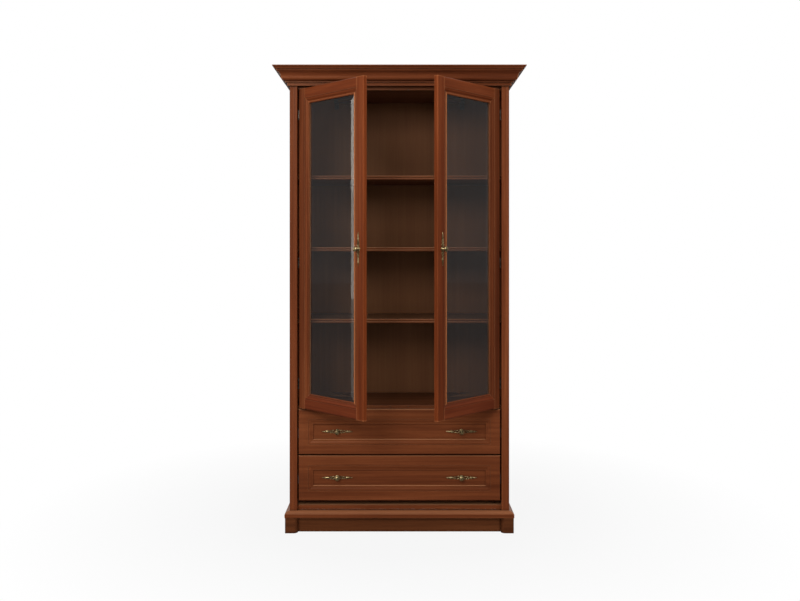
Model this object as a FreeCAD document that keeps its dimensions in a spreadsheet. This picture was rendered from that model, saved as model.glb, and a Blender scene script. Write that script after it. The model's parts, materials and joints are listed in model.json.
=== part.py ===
"""Bookcase with two framed glass doors over two drawers.

Frame: +Z up, front towards -Y, +X to the right seen from the front. The origin is on the floor,
in the middle of the width, on the rear plane that stands against the wall. The doors are modelled
open, as they stand at rest, and the drawers closed. All sizes are in millimetres.
"""

import FreeCAD, Part
import Sketcher
import math
import operator
import os

doc = FreeCAD.newDocument("glass_door_bookcase")
sheet = doc.addObject("Spreadsheet::Sheet", "sizes")


# ---------------------------------------------------------------- sizes with their expressions
SIGNS = {"+": operator.add, "-": operator.sub, "*": operator.mul, "/": operator.truediv}


class Size:
    """A number together with the spreadsheet expression that gives it."""

    def __init__(self, value, text):
        self.value = float(value)
        self.text = text

    def join(self, sign, other, swap=False):
        other = other if isinstance(other, Size) else Size(other, repr(float(other)))
        first, second = (other, self) if swap else (self, other)
        result = SIGNS[sign](first.value, second.value)
        return Size(result, f"({first.text} {sign} {second.text})")

    def __add__(self, other):
        return self.join("+", other)

    def __radd__(self, other):
        return self.join("+", other, True)

    def __sub__(self, other):
        return self.join("-", other)

    def __rsub__(self, other):
        return self.join("-", other, True)

    def __mul__(self, other):
        return self.join("*", other)

    def __rmul__(self, other):
        return self.join("*", other, True)

    def __truediv__(self, other):
        return self.join("/", other)

    def __neg__(self):
        return self.join("*", -1)


row_count = 0


def size(alias, value):
    """Put a driving dimension in the sheet and return it."""
    global row_count
    row_count += 1
    sheet.set(f"A{row_count}", alias)
    sheet.set(f"B{row_count}", str(value))
    sheet.setAlias(f"B{row_count}", alias)
    return Size(value, f"sizes.{alias}")


# Overall and boards
body_width = size("body_width", 965)
body_depth = size("body_depth", 390)
board = size("side_board", 16)
panel = size("panel_board", 16)
bottom_board = size("bottom_board", 18)
back_board = size("back_board", 3)
joint_play = size("joint_play", 0.5)

# Plinth and base moulding
plinth_top = size("plinth_top", 95)
plinth_recess = size("plinth_recess", 8)
plinth_board = size("plinth_board", 16)
base_moulding_low = size("base_moulding_low", 67)
base_overhang = size("base_overhang", 20)
base_flat = size("base_flat", 2)
base_fall = size("base_fall", 9)
base_nose = size("base_nose", 5)
base_crown = size("base_crown", 26)
foot_overhang = size("foot_overhang", 18)
foot_width = size("foot_width", 55)
foot_round = size("foot_round", 20)
foot_arris = size("foot_arris", 3)

# Cornice
cornice_overhang = size("cornice_overhang", 67.5)
cornice_edge = size("cornice_edge", 58)
top_board_thick = size("top_board_thick", 14)
top_lip = size("top_lip", 4)
top_cove = size("top_cove", 12)
crown_tall = size("crown_tall", 66)
crown_band = size("crown_band", 13)
crown_foot = size("crown_foot", 8)
crown_fillet = size("crown_fillet", 16)
crown_step = size("crown_step", 6)
crown_ovolo = size("crown_ovolo", 34)
crown_ovolo_rise = size("crown_ovolo_rise", 12)
crown_ovolo_radius = size("crown_ovolo_radius", 15)
crown_cove = size("crown_cove", 46)
crown_cove_radius = size("crown_cove_radius", 30)
crown_bead = size("crown_bead", 52)
crown_bead_rise = size("crown_bead_rise", 10)
crown_bead_radius = size("crown_bead_radius", 7)

# Front openings
pilaster_width = size("pilaster_width", 34)
pilaster_round = size("pilaster_round", 4)
flute_half = size("flute_half", 9)
flute_radius = size("flute_radius", 30)
leaf_thick = size("leaf_thick", 20)
stop_gap = size("stop_gap", 2.5)
leaf_setback = size("leaf_setback", 0.5)
side_gap = size("side_gap", 5)
door_side_gap = size("door_side_gap", 8)
middle_gap = size("middle_gap", 3)

# Heights and gaps of the front, from the floor up
drawer_clear = size("drawer_clear", 25)
front_tall = size("front_tall", 198)
row_gap = size("row_gap", 5)
door_gap = size("door_gap", 5)
door_tall = size("door_tall", 1403)
floor_cover = size("floor_cover", 9)
top_cover = size("top_cover", 2)
crown_gap = size("crown_gap", 13)

# Shelves
shelf_board = size("shelf_board", 18)
shelf_setback = size("shelf_setback", 4)
shelf_bead = size("shelf_bead", 4.2)
shelf_groove = size("shelf_groove", 2)
shelf_first_rise = size("shelf_first_rise", 363)
shelf_pitch = size("shelf_pitch", 317)
pin_radius = size("pin_radius", 2.5)
pin_length = size("pin_length", 18)
pin_socket = size("pin_socket", 10)
pin_inset = size("pin_inset", 40)

# Door frame
door_flat = size("door_flat", 43)
door_band = size("door_band", 25)
edge_round = size("edge_round", 5)
rear_round = size("rear_round", 3)
band_step = size("band_step", 1.6)
band_ovolo = size("band_ovolo", 9)
band_ovolo_fall = size("band_ovolo_fall", 2)
band_ovolo_radius = size("band_ovolo_radius", 14)
band_cove = size("band_cove", 10)
band_cove_fall = size("band_cove_fall", 4)
band_cove_radius = size("band_cove_radius", 12)
band_bead = size("band_bead", 5)
band_bead_radius = size("band_bead_radius", 2.8)
band_bead_rise = size("band_bead_rise", 1)
glass_thick = size("glass_thick", 4)
glass_depth = size("glass_depth", 11)
glass_seat = size("glass_seat", 9)
glass_play = size("glass_play", 0.5)
glass_bevel = size("glass_bevel", 31)
glass_bevel_drop = size("glass_bevel_drop", 1.55)

# Hinges
left_open = size("left_open", 47.4)
right_open = size("right_open", 49)
pivot_inset = size("pivot_inset", 9.5)
pivot_behind = size("pivot_behind", 8)
hinge_low = size("hinge_low", 103)
hinge_middle = size("hinge_middle", 638)
hinge_top_inset = size("hinge_top_inset", 110)
cup_radius = size("cup_radius", 17.5)
cup_deep = size("cup_deep", 11.5)
cup_edge = size("cup_edge", 5)
cup_wall = size("cup_wall", 1.5)
hinge_pin_radius = size("hinge_pin_radius", 2)
hinge_running = size("hinge_running", 0.05)
eye_radius = size("eye_radius", 3.6)
eye_half = size("eye_half", 3)
slot_play = size("slot_play", 0.3)
lug_half = size("lug_half", 8.6)
notch_play = size("notch_play", 0.7)
notch_front = size("notch_front", 4.5)
notch_inner = size("notch_inner", 5)
arm_thick = size("arm_thick", 4)
arm_half = size("arm_half", 6.5)
arm_bar = size("arm_bar", 2)
arm_clear = size("arm_clear", 15.5)
arm_inner = size("arm_inner", 5)
arm_reach = size("arm_reach", 52)
arm_cover = size("arm_cover", 8)
plate_start = size("plate_start", 22)
plate_half = size("plate_half", 22)
plate_long = size("plate_long", 32)

# Drawers
front_flat = size("front_flat", 43)
front_band = size("front_band", 24)
front_deep = size("front_deep", 3.5)
front_middle = size("front_middle", 11)
front_middle_deep = size("front_middle_deep", 2.4)
front_ovolo_radius = size("front_ovolo_radius", 16)
front_cove_radius = size("front_cove_radius", 14)
field_step = size("field_step", 4)
field_slope = size("field_slope", 3.5)
box_board = size("box_board", 12)
box_tall = size("box_tall", 120)
box_raise = size("box_raise", 30)
box_long = size("box_long", 345)
box_floor = size("box_floor", 4)
floor_groove = size("floor_groove", 6)
floor_raise = size("floor_raise", 10)
runner_space = size("runner_space", 12.5)
runner_tall = size("runner_tall", 42)
runner_wall = size("runner_wall", 1.5)
runner_play = size("runner_play", 0.3)
runner_raise = size("runner_raise", 38)
spacer_spare = size("spacer_spare", 20)

# Handles
knob_radius = size("knob_radius", 11)
knob_neck = size("knob_neck", 4)
knob_foot = size("knob_foot", 7)
knob_stand = size("knob_stand", 24)
knob_rise = size("knob_rise", 6)
knob_under = size("knob_under", 9)
plate_thick = size("plate_thick", 2)
plate_span = size("plate_span", 70)
plate_boss = size("plate_boss", 11)
plate_ring = size("plate_ring", 8)
plate_ring_near = size("plate_ring_near", 17)
plate_ring_small = size("plate_ring_small", 7)
plate_ring_far = size("plate_ring_far", 30)
plate_wire = size("plate_wire", 2.4)
leaf_curve = size("leaf_curve", 28)
screw_radius = size("screw_radius", 2)
screw_head = size("screw_head", 4.5)
screw_head_tall = size("screw_head_tall", 2.5)
drawer_handle_inset = size("drawer_handle_inset", 170.5)
door_handle_high = size("door_handle_high", 699)
door_handle_inset = size("door_handle_inset", 32)
bumper_radius = size("bumper_radius", 2)
bumper_inset = size("bumper_inset", 40)

# Wall fixing
bracket_x = size("bracket_x", 300)
bracket_leg = size("bracket_leg", 30)
bracket_width = size("bracket_width", 20)
bracket_metal = size("bracket_metal", 2)
bracket_hole = size("bracket_hole", 3.25)
bracket_drop = size("bracket_drop", 18)
doc.recompute()

SIDES = ((-1, "left"), (1, "right"))
SHELVES = ("lower", "middle", "upper")

# Derived planes
half_width = body_width / 2
half_inside = half_width - board
half_opening = half_width - pilaster_width
front = -body_depth
leaf_front = front + leaf_setback
panel_front = leaf_front + leaf_thick + stop_gap
pilaster_thick = leaf_setback + leaf_thick + stop_gap
half_row = half_opening - side_gap
drawer_handle_x = half_row - drawer_handle_inset
half_doors = half_opening - door_side_gap
door_wide = half_doors - middle_gap / 2
pivot_x = half_doors - pivot_inset
pivot_y = leaf_front + pivot_behind
lower_front_low = plinth_top + bottom_board + drawer_clear
upper_front_low = lower_front_low + front_tall + row_gap
door_low = upper_front_low + front_tall + door_gap
section_floor_top = door_low + floor_cover
top_panel_low = door_low + door_tall - top_cover
crown_low = door_low + door_tall + crown_gap
body_top = crown_low + crown_tall
cornice_top = body_top + top_board_thick
rail_wide = door_flat + door_band
ovolo_end = door_flat + band_ovolo
cove_end = ovolo_end + band_cove
ovolo_face = -pivot_behind + band_step + band_ovolo_fall
quirk_face = ovolo_face + band_cove_fall
bead_face = quirk_face - band_bead_rise
leaf_rear = leaf_thick - pivot_behind
eye_slot = eye_half + slot_play
notch_half = lug_half + notch_play
hole_z = top_panel_low - bracket_drop
shelf_levels = [section_floor_top + shelf_first_rise + shelf_pitch * count for count in range(len(SHELVES))]
pin_places = (panel_front + pin_inset, -back_board - pin_inset)
hinge_levels = (hinge_low, hinge_middle, door_tall - hinge_top_inset)
BEYOND = 2  # how far a cutting shape passes the piece that it cuts


# ---------------------------------------------------------------- helpers
def number(item):
    return item.value if isinstance(item, Size) else float(item)


def bind(item, path, amount):
    """Tie a property to its expression, where it has one."""
    if isinstance(amount, Size):
        item.setExpression(path, amount.text)


def put(item, x=0, y=0, z=0, turn=0, axis=(0, 0, 1)):
    """Place an object, its base point and turn bound to the sheet."""
    spin = FreeCAD.Rotation(FreeCAD.Vector(*axis), number(turn))
    item.Placement = FreeCAD.Placement(FreeCAD.Vector(number(x), number(y), number(z)), spin)
    for letter, amount in (("x", x), ("y", y), ("z", z)):
        bind(item, f".Placement.Base.{letter}", amount)
    bind(item, ".Placement.Rotation.Angle", turn)
    return item


def span(name, x, y, z):
    """Box between two corners: x, y and z are (low, high) pairs."""
    item = doc.addObject("Part::Box", name)
    for side, (low, high) in (("Length", x), ("Width", y), ("Height", z)):
        length = high - low
        setattr(item, side, number(length))
        bind(item, side, length)
    return put(item, x[0], y[0], z[0])


def rod(name, radius, length, x, y, z, axis="z"):
    """Cylinder from a point along an axis."""
    turns = {"z": (0, (0, 0, 1)), "x": (90, (0, 1, 0)), "y": (-90, (1, 0, 0)), "-y": (90, (1, 0, 0))}
    item = doc.addObject("Part::Cylinder", name)
    item.Radius = number(radius)
    item.Height = number(length)
    bind(item, "Radius", radius)
    bind(item, "Height", length)
    angle, about = turns[axis]
    return put(item, x, y, z, angle, about)


def drill(name, radius, x, y, z):
    """Cylinder along Y that passes right through a piece lying between two y values."""
    return rod(name, radius, y[1] - y[0] + BEYOND * 2, x, y[0] - BEYOND, z, "y")


def merged(name, items):
    """One solid made of several that touch or overlap."""
    item = doc.addObject("Part::MultiFuse", name)
    item.Shapes = items
    item.Refine = True
    return item


def without(name, base, tools):
    item = doc.addObject("Part::Cut", name)
    item.Base = base
    item.Tool = tools[0] if len(tools) == 1 else merged(name + "_tools", tools)
    return item


def overlap(name, base, tool):
    item = doc.addObject("Part::Common", name)
    item.Base = base
    item.Tool = tool
    return item


def group(name, items):
    """Several separate solids in one node."""
    item = doc.addObject("Part::Compound", name)
    item.Links = items
    return item


def origin_plane(body, role):
    return next(part for part in body.Origin.OriginFeatures if part.Role == role)


def outline(body, name, plane, corners, offset=0):
    """Closed sketch on an origin plane. A corner is (x, y) or (x, y, radius, side), where the
    radius is of the arc that leads to it and side is 1 where the arc turns left, -1 right."""
    sketch = body.newObject("Sketcher::SketchObject", name)
    sketch.AttachmentSupport = [(origin_plane(body, plane), "")]
    sketch.MapMode = "FlatFace"
    sketch.AttachmentOffset = FreeCAD.Placement(
        FreeCAD.Vector(0, 0, number(offset)), FreeCAD.Rotation()
    )
    bind(sketch, ".AttachmentOffset.Base.z", offset)
    upward = FreeCAD.Vector(0, 0, 1)
    spots = [FreeCAD.Vector(number(c[0]), number(c[1]), 0) for c in corners]
    ends = []
    for index, corner in enumerate(corners):
        start, end = spots[index - 1], spots[index]
        if len(corner) == 2:
            sketch.addGeometry(Part.LineSegment(start, end), False)
            ends.append((1, 2))
            continue
        radius, side = number(corner[2]), corner[3]
        chord = end - start
        height = math.sqrt(max(radius**2 - (chord.Length / 2) ** 2, 0))
        across = FreeCAD.Vector(-chord.y, chord.x, 0).normalize() * height * side
        centre = (start + end) * 0.5 + across
        first, last = (start, end) if side > 0 else (end, start)
        angles = [math.atan2(p.y - centre.y, p.x - centre.x) for p in (first, last)]
        circle = Part.Circle(centre, upward, radius)
        sketch.addGeometry(Part.ArcOfCircle(circle, angles[0], angles[1]), False)
        ends.append((1, 2) if side > 0 else (2, 1))
    for index, corner in enumerate(corners):
        following = (index + 1) % len(corners)
        last_end, next_start = ends[index][1], ends[following][0]
        sketch.addConstraint(
            Sketcher.Constraint("Coincident", index, last_end, following, next_start)
        )
        for kind, amount in (("DistanceX", corner[0]), ("DistanceY", corner[1])):
            fixed = Sketcher.Constraint(kind, -1, 1, index, last_end, number(amount))
            count = sketch.addConstraint(fixed)
            sketch.renameConstraint(count, f"{kind[-1]}_{index}")
            bind(sketch, f"Constraints.{kind[-1]}_{index}", amount)
        if len(corner) == 4:
            count = sketch.addConstraint(Sketcher.Constraint("Radius", index, number(corner[2])))
            sketch.renameConstraint(count, f"R_{index}")
            bind(sketch, f"Constraints.R_{index}", corner[2])
    return sketch


def pad(name, plane, corners, length, both=False, offset=0):
    """Body padded from one outline on an origin plane."""
    body = doc.addObject("PartDesign::Body", name)
    feature = body.newObject("PartDesign::Pad", name + "_pad")
    feature.Profile = outline(body, name + "_outline", plane, corners, offset)
    feature.Length = number(length)
    bind(feature, "Length", length)
    feature.SideType = "Symmetric" if both else "One side"
    body.Tip = feature
    return body


def pocket(body, name, plane, corners):
    """Cut an outline right through a body, both ways from its plane."""
    doc.recompute()
    before = body.Shape.Volume
    feature = body.newObject("PartDesign::Pocket", name)
    feature.Profile = outline(body, name + "_outline", plane, corners)
    feature.Type = "ThroughAll"
    feature.SideType = "Symmetric"
    body.Tip = feature
    doc.recompute()
    if not body.Shape.Volume < before - 1:
        raise RuntimeError(f"{name} cuts nothing")
    return body


nodes = []


def node(item, name):
    """Name a finished sub-part."""
    item.Label = name
    nodes.append(item)
    return item


def pair(side, low, high):
    """The (low, high) pair on the left (-1) or right (1) side of the middle plane."""
    return (low, high) if side > 0 else (-high, -low)


# ---------------------------------------------------------------- plinth and base moulding
def make_plinth():
    board_front = front + plinth_recess
    board_rear = board_front + plinth_board
    rise = (0, plinth_top)
    node(span("front_plinth", (-half_width, half_width), (board_front, board_rear), rise), "plinth_front")
    sides = [
        span(f"plinth_side_{word}", pair(side, half_width - plinth_board, half_width), (board_rear, 0), rise)
        for side, word in SIDES
    ]
    node(group("plinth_side_pair", sides), "plinth_sides")
    half_rear = half_width - plinth_board
    node(span("rear_plinth", (-half_rear, half_rear), (-plinth_board, 0), rise), "plinth_rear")


def base_section(sign, wall, backing):
    """A soft sloping top, a round nose and a flat face."""
    outer = wall + base_overhang
    slope_low = plinth_top - base_fall
    return [
        (sign * (wall - backing), plinth_top),
        (sign * (wall + base_flat), plinth_top),
        (sign * (outer - base_nose), slope_low, base_crown, -sign),
        (sign * outer, slope_low - base_nose, base_nose, -sign),
        (sign * outer, base_moulding_low),
        (sign * (wall - backing), base_moulding_low),
    ]


def crown_section(sign, wall, backing):
    """From the band over the doors to the bead under the top board."""
    band_top = crown_low + crown_band
    fillet_top = band_top + crown_step
    ovolo_top = fillet_top + crown_ovolo_rise
    return [
        (sign * (wall - backing), crown_low),
        (sign * (wall + crown_foot), crown_low),
        (sign * (wall + crown_foot), band_top),
        (sign * (wall + crown_fillet), band_top),
        (sign * (wall + crown_fillet), fillet_top),
        (sign * (wall + crown_ovolo), ovolo_top, crown_ovolo_radius, sign),
        (sign * (wall + crown_cove), body_top - crown_bead_rise, crown_cove_radius, -sign),
        (sign * (wall + crown_bead), body_top, crown_bead_radius, sign),
        (sign * (wall - backing), body_top),
    ]


def make_run(name, section, overhang, backing):
    """A moulding along the front and both sides, mitred at the two front corners."""
    reach = half_width + overhang
    fore = front - overhang
    rear = front + backing
    strip = pad(f"{name}_front_strip", "YZ_Plane", section(-1, body_depth, backing), reach * 2, both=True)
    for side, word in SIDES:
        pocket(
            strip,
            f"{name}_front_mitre_{word}",
            "XY_Plane",
            [
                (side * half_width, rear + BEYOND),
                (side * half_width, front),
                (side * (reach + BEYOND), fore - BEYOND),
                (side * (reach + BEYOND), rear + BEYOND),
            ],
        )
    node(strip, f"{name}_front")
    returns = []
    for side, word in SIDES:
        piece = pad(f"{name}_return_{word}", "XZ_Plane", section(side, half_width, 0), body_depth + overhang)
        pocket(
            piece,
            f"{name}_mitre_{word}",
            "XY_Plane",
            [
                (side * (half_width - BEYOND), front + BEYOND),
                (side * (reach + BEYOND), fore - BEYOND),
                (side * (half_width - BEYOND), fore - BEYOND),
            ],
        )
        returns.append(piece)
    node(group(f"{name}_return_pair", returns), f"{name}_sides")


def foot_outline(side):
    """L-shaped corner block with a large round on its inner front edge."""
    outer = half_width + foot_overhang
    inner = outer - foot_width
    fore = front - foot_overhang
    return [
        (side * outer, fore + foot_arris),
        (side * (outer - foot_arris), fore, foot_arris, -side),
        (side * (inner + foot_round), fore),
        (side * inner, fore + foot_round, foot_round, -side),
        (side * inner, front + plinth_recess),
        (side * half_width, front + plinth_recess),
        (side * half_width, front + foot_width),
        (side * outer, front + foot_width),
    ]


def make_feet():
    blocks = [pad(f"foot_{word}", "XY_Plane", foot_outline(side), base_moulding_low) for side, word in SIDES]
    node(group("front_foot_pair", blocks), "front_feet")
    reach = half_width + foot_overhang
    rear = [
        span(f"rear_foot_{word}", pair(side, half_width, reach), (-foot_width, 0), (0, base_moulding_low))
        for side, word in SIDES
    ]
    node(group("rear_foot_pair", rear), "rear_feet")


# ---------------------------------------------------------------- carcass
def make_side_panels():
    for side, word in SIDES:
        blank = span(
            f"side_blank_{word}",
            pair(side, half_inside, half_width),
            (panel_front, -back_board),
            (plinth_top, body_top),
        )
        sockets = []
        for level in shelf_levels:
            for deep in pin_places:
                x = half_inside if side > 0 else -half_inside - pin_socket
                name = f"socket_{word}_{len(sockets)}"
                sockets.append(rod(name, pin_radius, pin_socket, x, deep, level - pin_radius, "x"))
        node(without(f"side_{word}", blank, sockets), f"side_panel_{word}")


def make_panels():
    across = (-half_inside, half_inside)
    depth = (panel_front, -back_board)
    node(span("top", across, depth, (top_panel_low, top_panel_low + panel)), "top_panel")
    floor = (section_floor_top - panel, section_floor_top)
    node(span("middle", across, depth, floor), "middle_panel")
    node(span("bottom", across, depth, (plinth_top, plinth_top + bottom_board)), "bottom_panel")
    header = (top_panel_low + panel, body_top)
    node(span("header", (-half_opening, half_opening), (front, panel_front), header), "header_rail")
    rear = (-back_board - panel, -back_board)
    node(span("rear_header", across, rear, header), "rear_header_rail")


def make_back():
    split = section_floor_top - panel / 2
    across = (-half_width, half_width)
    depth = (-back_board, 0)
    node(span("lower_back", across, depth, (plinth_top, split - joint_play / 2)), "back_panel_lower")
    upper = span("upper_back", across, depth, (split + joint_play / 2, body_top))
    holes = [
        drill(f"back_hole_{word}", bracket_hole, side * bracket_x, depth, hole_z)
        for side, word in SIDES
    ]
    node(without("upper_back_drilled", upper, holes), "back_panel_upper")


def make_pilasters():
    for side, word in SIDES:
        middle = half_width - pilaster_width / 2
        inner, outer = half_opening, half_width
        post = pad(
            f"pilaster_{word}_post",
            "XY_Plane",
            [
                (side * inner, panel_front),
                (side * outer, panel_front),
                (side * outer, front + pilaster_round),
                (side * (outer - pilaster_round), front, pilaster_round, -side),
                (side * (middle + flute_half), front),
                (side * (middle - flute_half), front, flute_radius, side),
                (side * (inner + pilaster_round), front),
                (side * inner, front + pilaster_round, pilaster_round, -side),
            ],
            body_top - plinth_top,
        )
        node(put(post, z=plinth_top), f"pilaster_{word}")


def top_edge(sign, wall):
    """Moulded edge of the top board: a lip over a cove."""
    outer = wall + cornice_overhang
    return [
        (sign * outer, cornice_top),
        (sign * outer, cornice_top - top_lip),
        (sign * (wall + cornice_edge), body_top, top_cove, sign),
    ]


def make_top_board():
    """Top board with the same moulded edge on the front and both sides."""
    slab = pad(
        "top_slab",
        "YZ_Plane",
        [(0, cornice_top), *top_edge(-1, body_depth), (0, body_top)],
        (half_width + cornice_overhang) * 2,
        both=True,
    )
    clear = half_width + cornice_overhang + BEYOND
    for side, word in SIDES:
        waste = [
            *top_edge(side, half_width),
            (side * (half_width + cornice_edge), body_top - BEYOND),
            (side * clear, body_top - BEYOND),
            (side * clear, cornice_top),
        ]
        pocket(slab, f"top_edge_{word}", "XZ_Plane", waste)
    node(slab, "top_board")


def make_shelves():
    """Three loose shelves with two beads along the front edge, each on four pins."""
    fore = panel_front + shelf_setback
    rear = -back_board - joint_play
    bead = (shelf_board - shelf_groove) / 2
    section = [
        (rear, 0),
        (rear, shelf_board),
        (fore + bead / 2, shelf_board),
        (fore + bead / 2, shelf_board - bead, shelf_bead, 1),
        (fore + bead / 2, bead),
        (fore + bead / 2, 0, shelf_bead, 1),
    ]
    for level, word in zip(shelf_levels, SHELVES):
        blank = pad(f"shelf_{word}_board", "YZ_Plane", section, (half_inside - joint_play) * 2, both=True)
        node(put(blank, z=level), f"shelf_{word}")
    pins = []
    for side, word in SIDES:
        x = half_inside + pin_socket - pin_length if side > 0 else -half_inside - pin_socket
        for level in shelf_levels:
            for deep in pin_places:
                name = f"pin_{word}_{len(pins)}"
                pins.append(rod(name, pin_radius, pin_length, x, deep, level - pin_radius, "x"))
    node(group("pin_set", pins), "shelf_pins")


def make_wall_brackets():
    """Angle pieces under the top panel, each with one hole for a screw into the wall."""
    brackets = []
    rear = -back_board
    depth = (rear - bracket_metal, rear)
    upright_rise = (top_panel_low - bracket_leg, top_panel_low)
    flat_rise = (top_panel_low - bracket_metal, top_panel_low)
    for side, word in SIDES:
        middle = side * bracket_x
        across = (middle - bracket_width / 2, middle + bracket_width / 2)
        upright = span(f"bracket_upright_{word}", across, depth, upright_rise)
        flat = span(f"bracket_flat_{word}", across, (rear - bracket_leg, rear), flat_rise)
        hole = drill(f"bracket_hole_{word}", bracket_hole, middle, depth, hole_z)
        brackets.append(without(f"bracket_{word}", merged(f"bracket_angle_{word}", [upright, flat]), [hole]))
    node(group("bracket_pair", brackets), "wall_brackets")


# ---------------------------------------------------------------- handles
def make_plate(name):
    """Openwork back plate along X: a boss, two rings and a pointed leaf each way."""
    parts = [rod(f"{name}_boss", plate_boss, plate_thick, 0, -plate_thick, 0, "y")]
    leaf_root = plate_ring_far + plate_ring_small - plate_wire
    rings = ((plate_ring_near, plate_ring), (plate_ring_far, plate_ring_small))
    for side, word in SIDES:
        for place, radius in rings:
            label = f"{name}_{word}_{len(parts)}"
            x = side * place
            disc = rod(label + "_disc", radius, plate_thick, x, -plate_thick, 0, "y")
            loop = drill(label + "_loop", radius - plate_wire, x, (-plate_thick, 0), 0)
            parts.append(without(label + "_ring", disc, [loop]))
        ends = [(side * leaf_root, 0, leaf_curve, 1), (side * plate_span, 0, leaf_curve, 1)]
        parts.append(pad(f"{name}_leaf_{word}", "XZ_Plane", ends, plate_thick))
    whole = merged(f"{name}_openwork", parts)
    bore = drill(f"{name}_bore", screw_radius, 0, (-plate_thick, 0), 0)
    return without(f"{name}_plate", whole, [bore])


def make_knob(name):
    """Turned knob on the Y axis, from its foot on the plate to its domed head."""
    body = doc.addObject("PartDesign::Body", name)
    turned = body.newObject("PartDesign::Revolution", f"{name}_turning")
    head = knob_stand - knob_rise
    dome = (knob_radius * knob_radius + knob_rise * knob_rise) / (knob_rise * 2)
    half = [
        (0, -plate_thick),
        (knob_foot, -plate_thick),
        (knob_neck, -plate_thick - knob_neck, knob_under, 1),
        (knob_neck, -head + knob_rise),
        (knob_radius, -head, knob_under, 1),
        (0, -knob_stand, dome, -1),
    ]
    sketch = outline(body, f"{name}_half", "XY_Plane", half)
    turned.Profile = sketch
    turned.ReferenceAxis = (sketch, ["V_Axis"])
    turned.Angle = 360
    body.Tip = turned
    return body


def make_handle(name, leaf, x, z, upright, face=0):
    """Plate, knob and screw as separate solids. The leaf's face is at y = face."""
    plate = make_plate(name)
    if upright:
        put(plate, turn=90, axis=(0, 1, 0))
    knob = make_knob(f"{name}_knob")
    shank = rod(f"{name}_shank", screw_radius, leaf + plate_thick, 0, -plate_thick, 0, "y")
    head = rod(f"{name}_head", screw_head, screw_head_tall, 0, leaf, 0, "y")
    screw = merged(f"{name}_screw", [shank, head])
    return put(group(f"{name}_set", [plate, knob, screw]), x, face, z)


# ---------------------------------------------------------------- doors
def leaf_section(at, convex, swap):
    """Door frame section. at() maps the distance from the frame's outer edge to its coordinate,
    and convex is the turn of an arc that bulges outwards."""
    face = -pivot_behind
    steps = [
        (rail_wide - glass_seat, leaf_rear),
        (rail_wide - glass_seat, face + glass_depth),
        (rail_wide, face + glass_depth),
        (rail_wide, bead_face + band_bead_rise),
        (rail_wide - band_bead, bead_face, band_bead_radius, convex),
        (cove_end, quirk_face),
        (ovolo_end, ovolo_face, band_cove_radius, -convex),
        (door_flat, face + band_step, band_ovolo_radius, convex),
        (door_flat, face),
        (edge_round, face),
        (0, face + edge_round, edge_round, convex),
        (0, leaf_rear - rear_round),
        (rear_round, leaf_rear, rear_round, convex),
    ]
    if swap:
        return [(y, at(u), *arc) for u, y, *arc in steps]
    return [(at(u), y, *arc) for u, y, *arc in steps]


def make_stile(name, at, convex):
    """Full-height stile, its moulded band mitred at both ends where the rails meet it."""
    stile = pad(name, "XY_Plane", leaf_section(at, convex, False), door_tall)
    for word, level in (("low", lambda v: v), ("high", lambda v: door_tall - v)):
        corners = [
            (at(door_flat), level(-BEYOND)),
            (at(door_flat), level(door_flat)),
            (at(rail_wide + BEYOND), level(rail_wide + BEYOND)),
            (at(rail_wide + BEYOND), level(-BEYOND)),
        ]
        pocket(stile, f"{name}_{word}", "XZ_Plane", corners)
    return stile


def make_rail(name, side, level, convex):
    """Rail between the stiles, its moulded band mitred at both ends."""
    middle = side * (pivot_inset - door_wide / 2)
    long = door_wide - door_flat * 2
    rail = pad(name, "YZ_Plane", leaf_section(level, convex, True), long, both=True, offset=middle)
    for word, turn in (("one", 1), ("two", -1)):
        half = turn * door_wide / 2
        corners = [
            (middle + half - turn * (door_flat - BEYOND), level(door_flat - BEYOND)),
            (middle + half - turn * (rail_wide + BEYOND), level(rail_wide + BEYOND)),
            (middle + half - turn * (door_flat - BEYOND), level(rail_wide + BEYOND)),
        ]
        pocket(rail, f"{name}_{word}", "XZ_Plane", corners)
    return rail


def make_glass(name, side):
    """Pane with a wide bevel round its front edge."""
    edge = rail_wide - glass_seat + glass_play
    wide = door_wide - edge * 2
    tall = door_tall - edge * 2
    middle = side * (pivot_inset - door_wide / 2)
    seat = -pivot_behind + glass_depth
    pane = span(
        f"{name}_pane",
        (middle - wide / 2, middle + wide / 2),
        (seat + glass_bevel_drop, seat + glass_thick),
        (edge, door_tall - edge),
    )
    bevel = doc.addObject("Part::Wedge", f"{name}_bevel")
    limits = {
        "Xmin": -wide / 2,
        "Xmax": wide / 2,
        "X2min": glass_bevel - wide / 2,
        "X2max": wide / 2 - glass_bevel,
        "Zmin": -tall / 2,
        "Zmax": tall / 2,
        "Z2min": glass_bevel - tall / 2,
        "Z2max": tall / 2 - glass_bevel,
        "Ymin": 0,
        "Ymax": glass_bevel_drop,
    }
    for limit, amount in limits.items():
        setattr(bevel, limit, number(amount))
        bind(bevel, limit, amount)
    put(bevel, middle, seat + glass_bevel_drop, door_tall / 2, 180)
    return merged(name + "_bevelled", [pane, bevel])


def make_glass_beads(name, side):
    """Four strips that hold the pane in its rebate from behind."""
    outer = rail_wide - glass_seat
    depth = (-pivot_behind + glass_depth + glass_thick, leaf_rear)
    strips = []
    for near, far in ((outer, rail_wide), (door_wide - rail_wide, door_wide - outer)):
        ends = (side * (pivot_inset - near), side * (pivot_inset - far))
        across = ends if side < 0 else (ends[1], ends[0])
        strips.append(span(f"{name}_upright_{len(strips)}", across, depth, (outer, door_tall - outer)))
    ends = (side * (pivot_inset - rail_wide), side * (pivot_inset - door_wide + rail_wide))
    across = ends if side < 0 else (ends[1], ends[0])
    for low in (outer, door_tall - rail_wide):
        strips.append(span(f"{name}_level_{len(strips)}", across, depth, (low, low + glass_seat)))
    return group(name + "_strips", strips)


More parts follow.
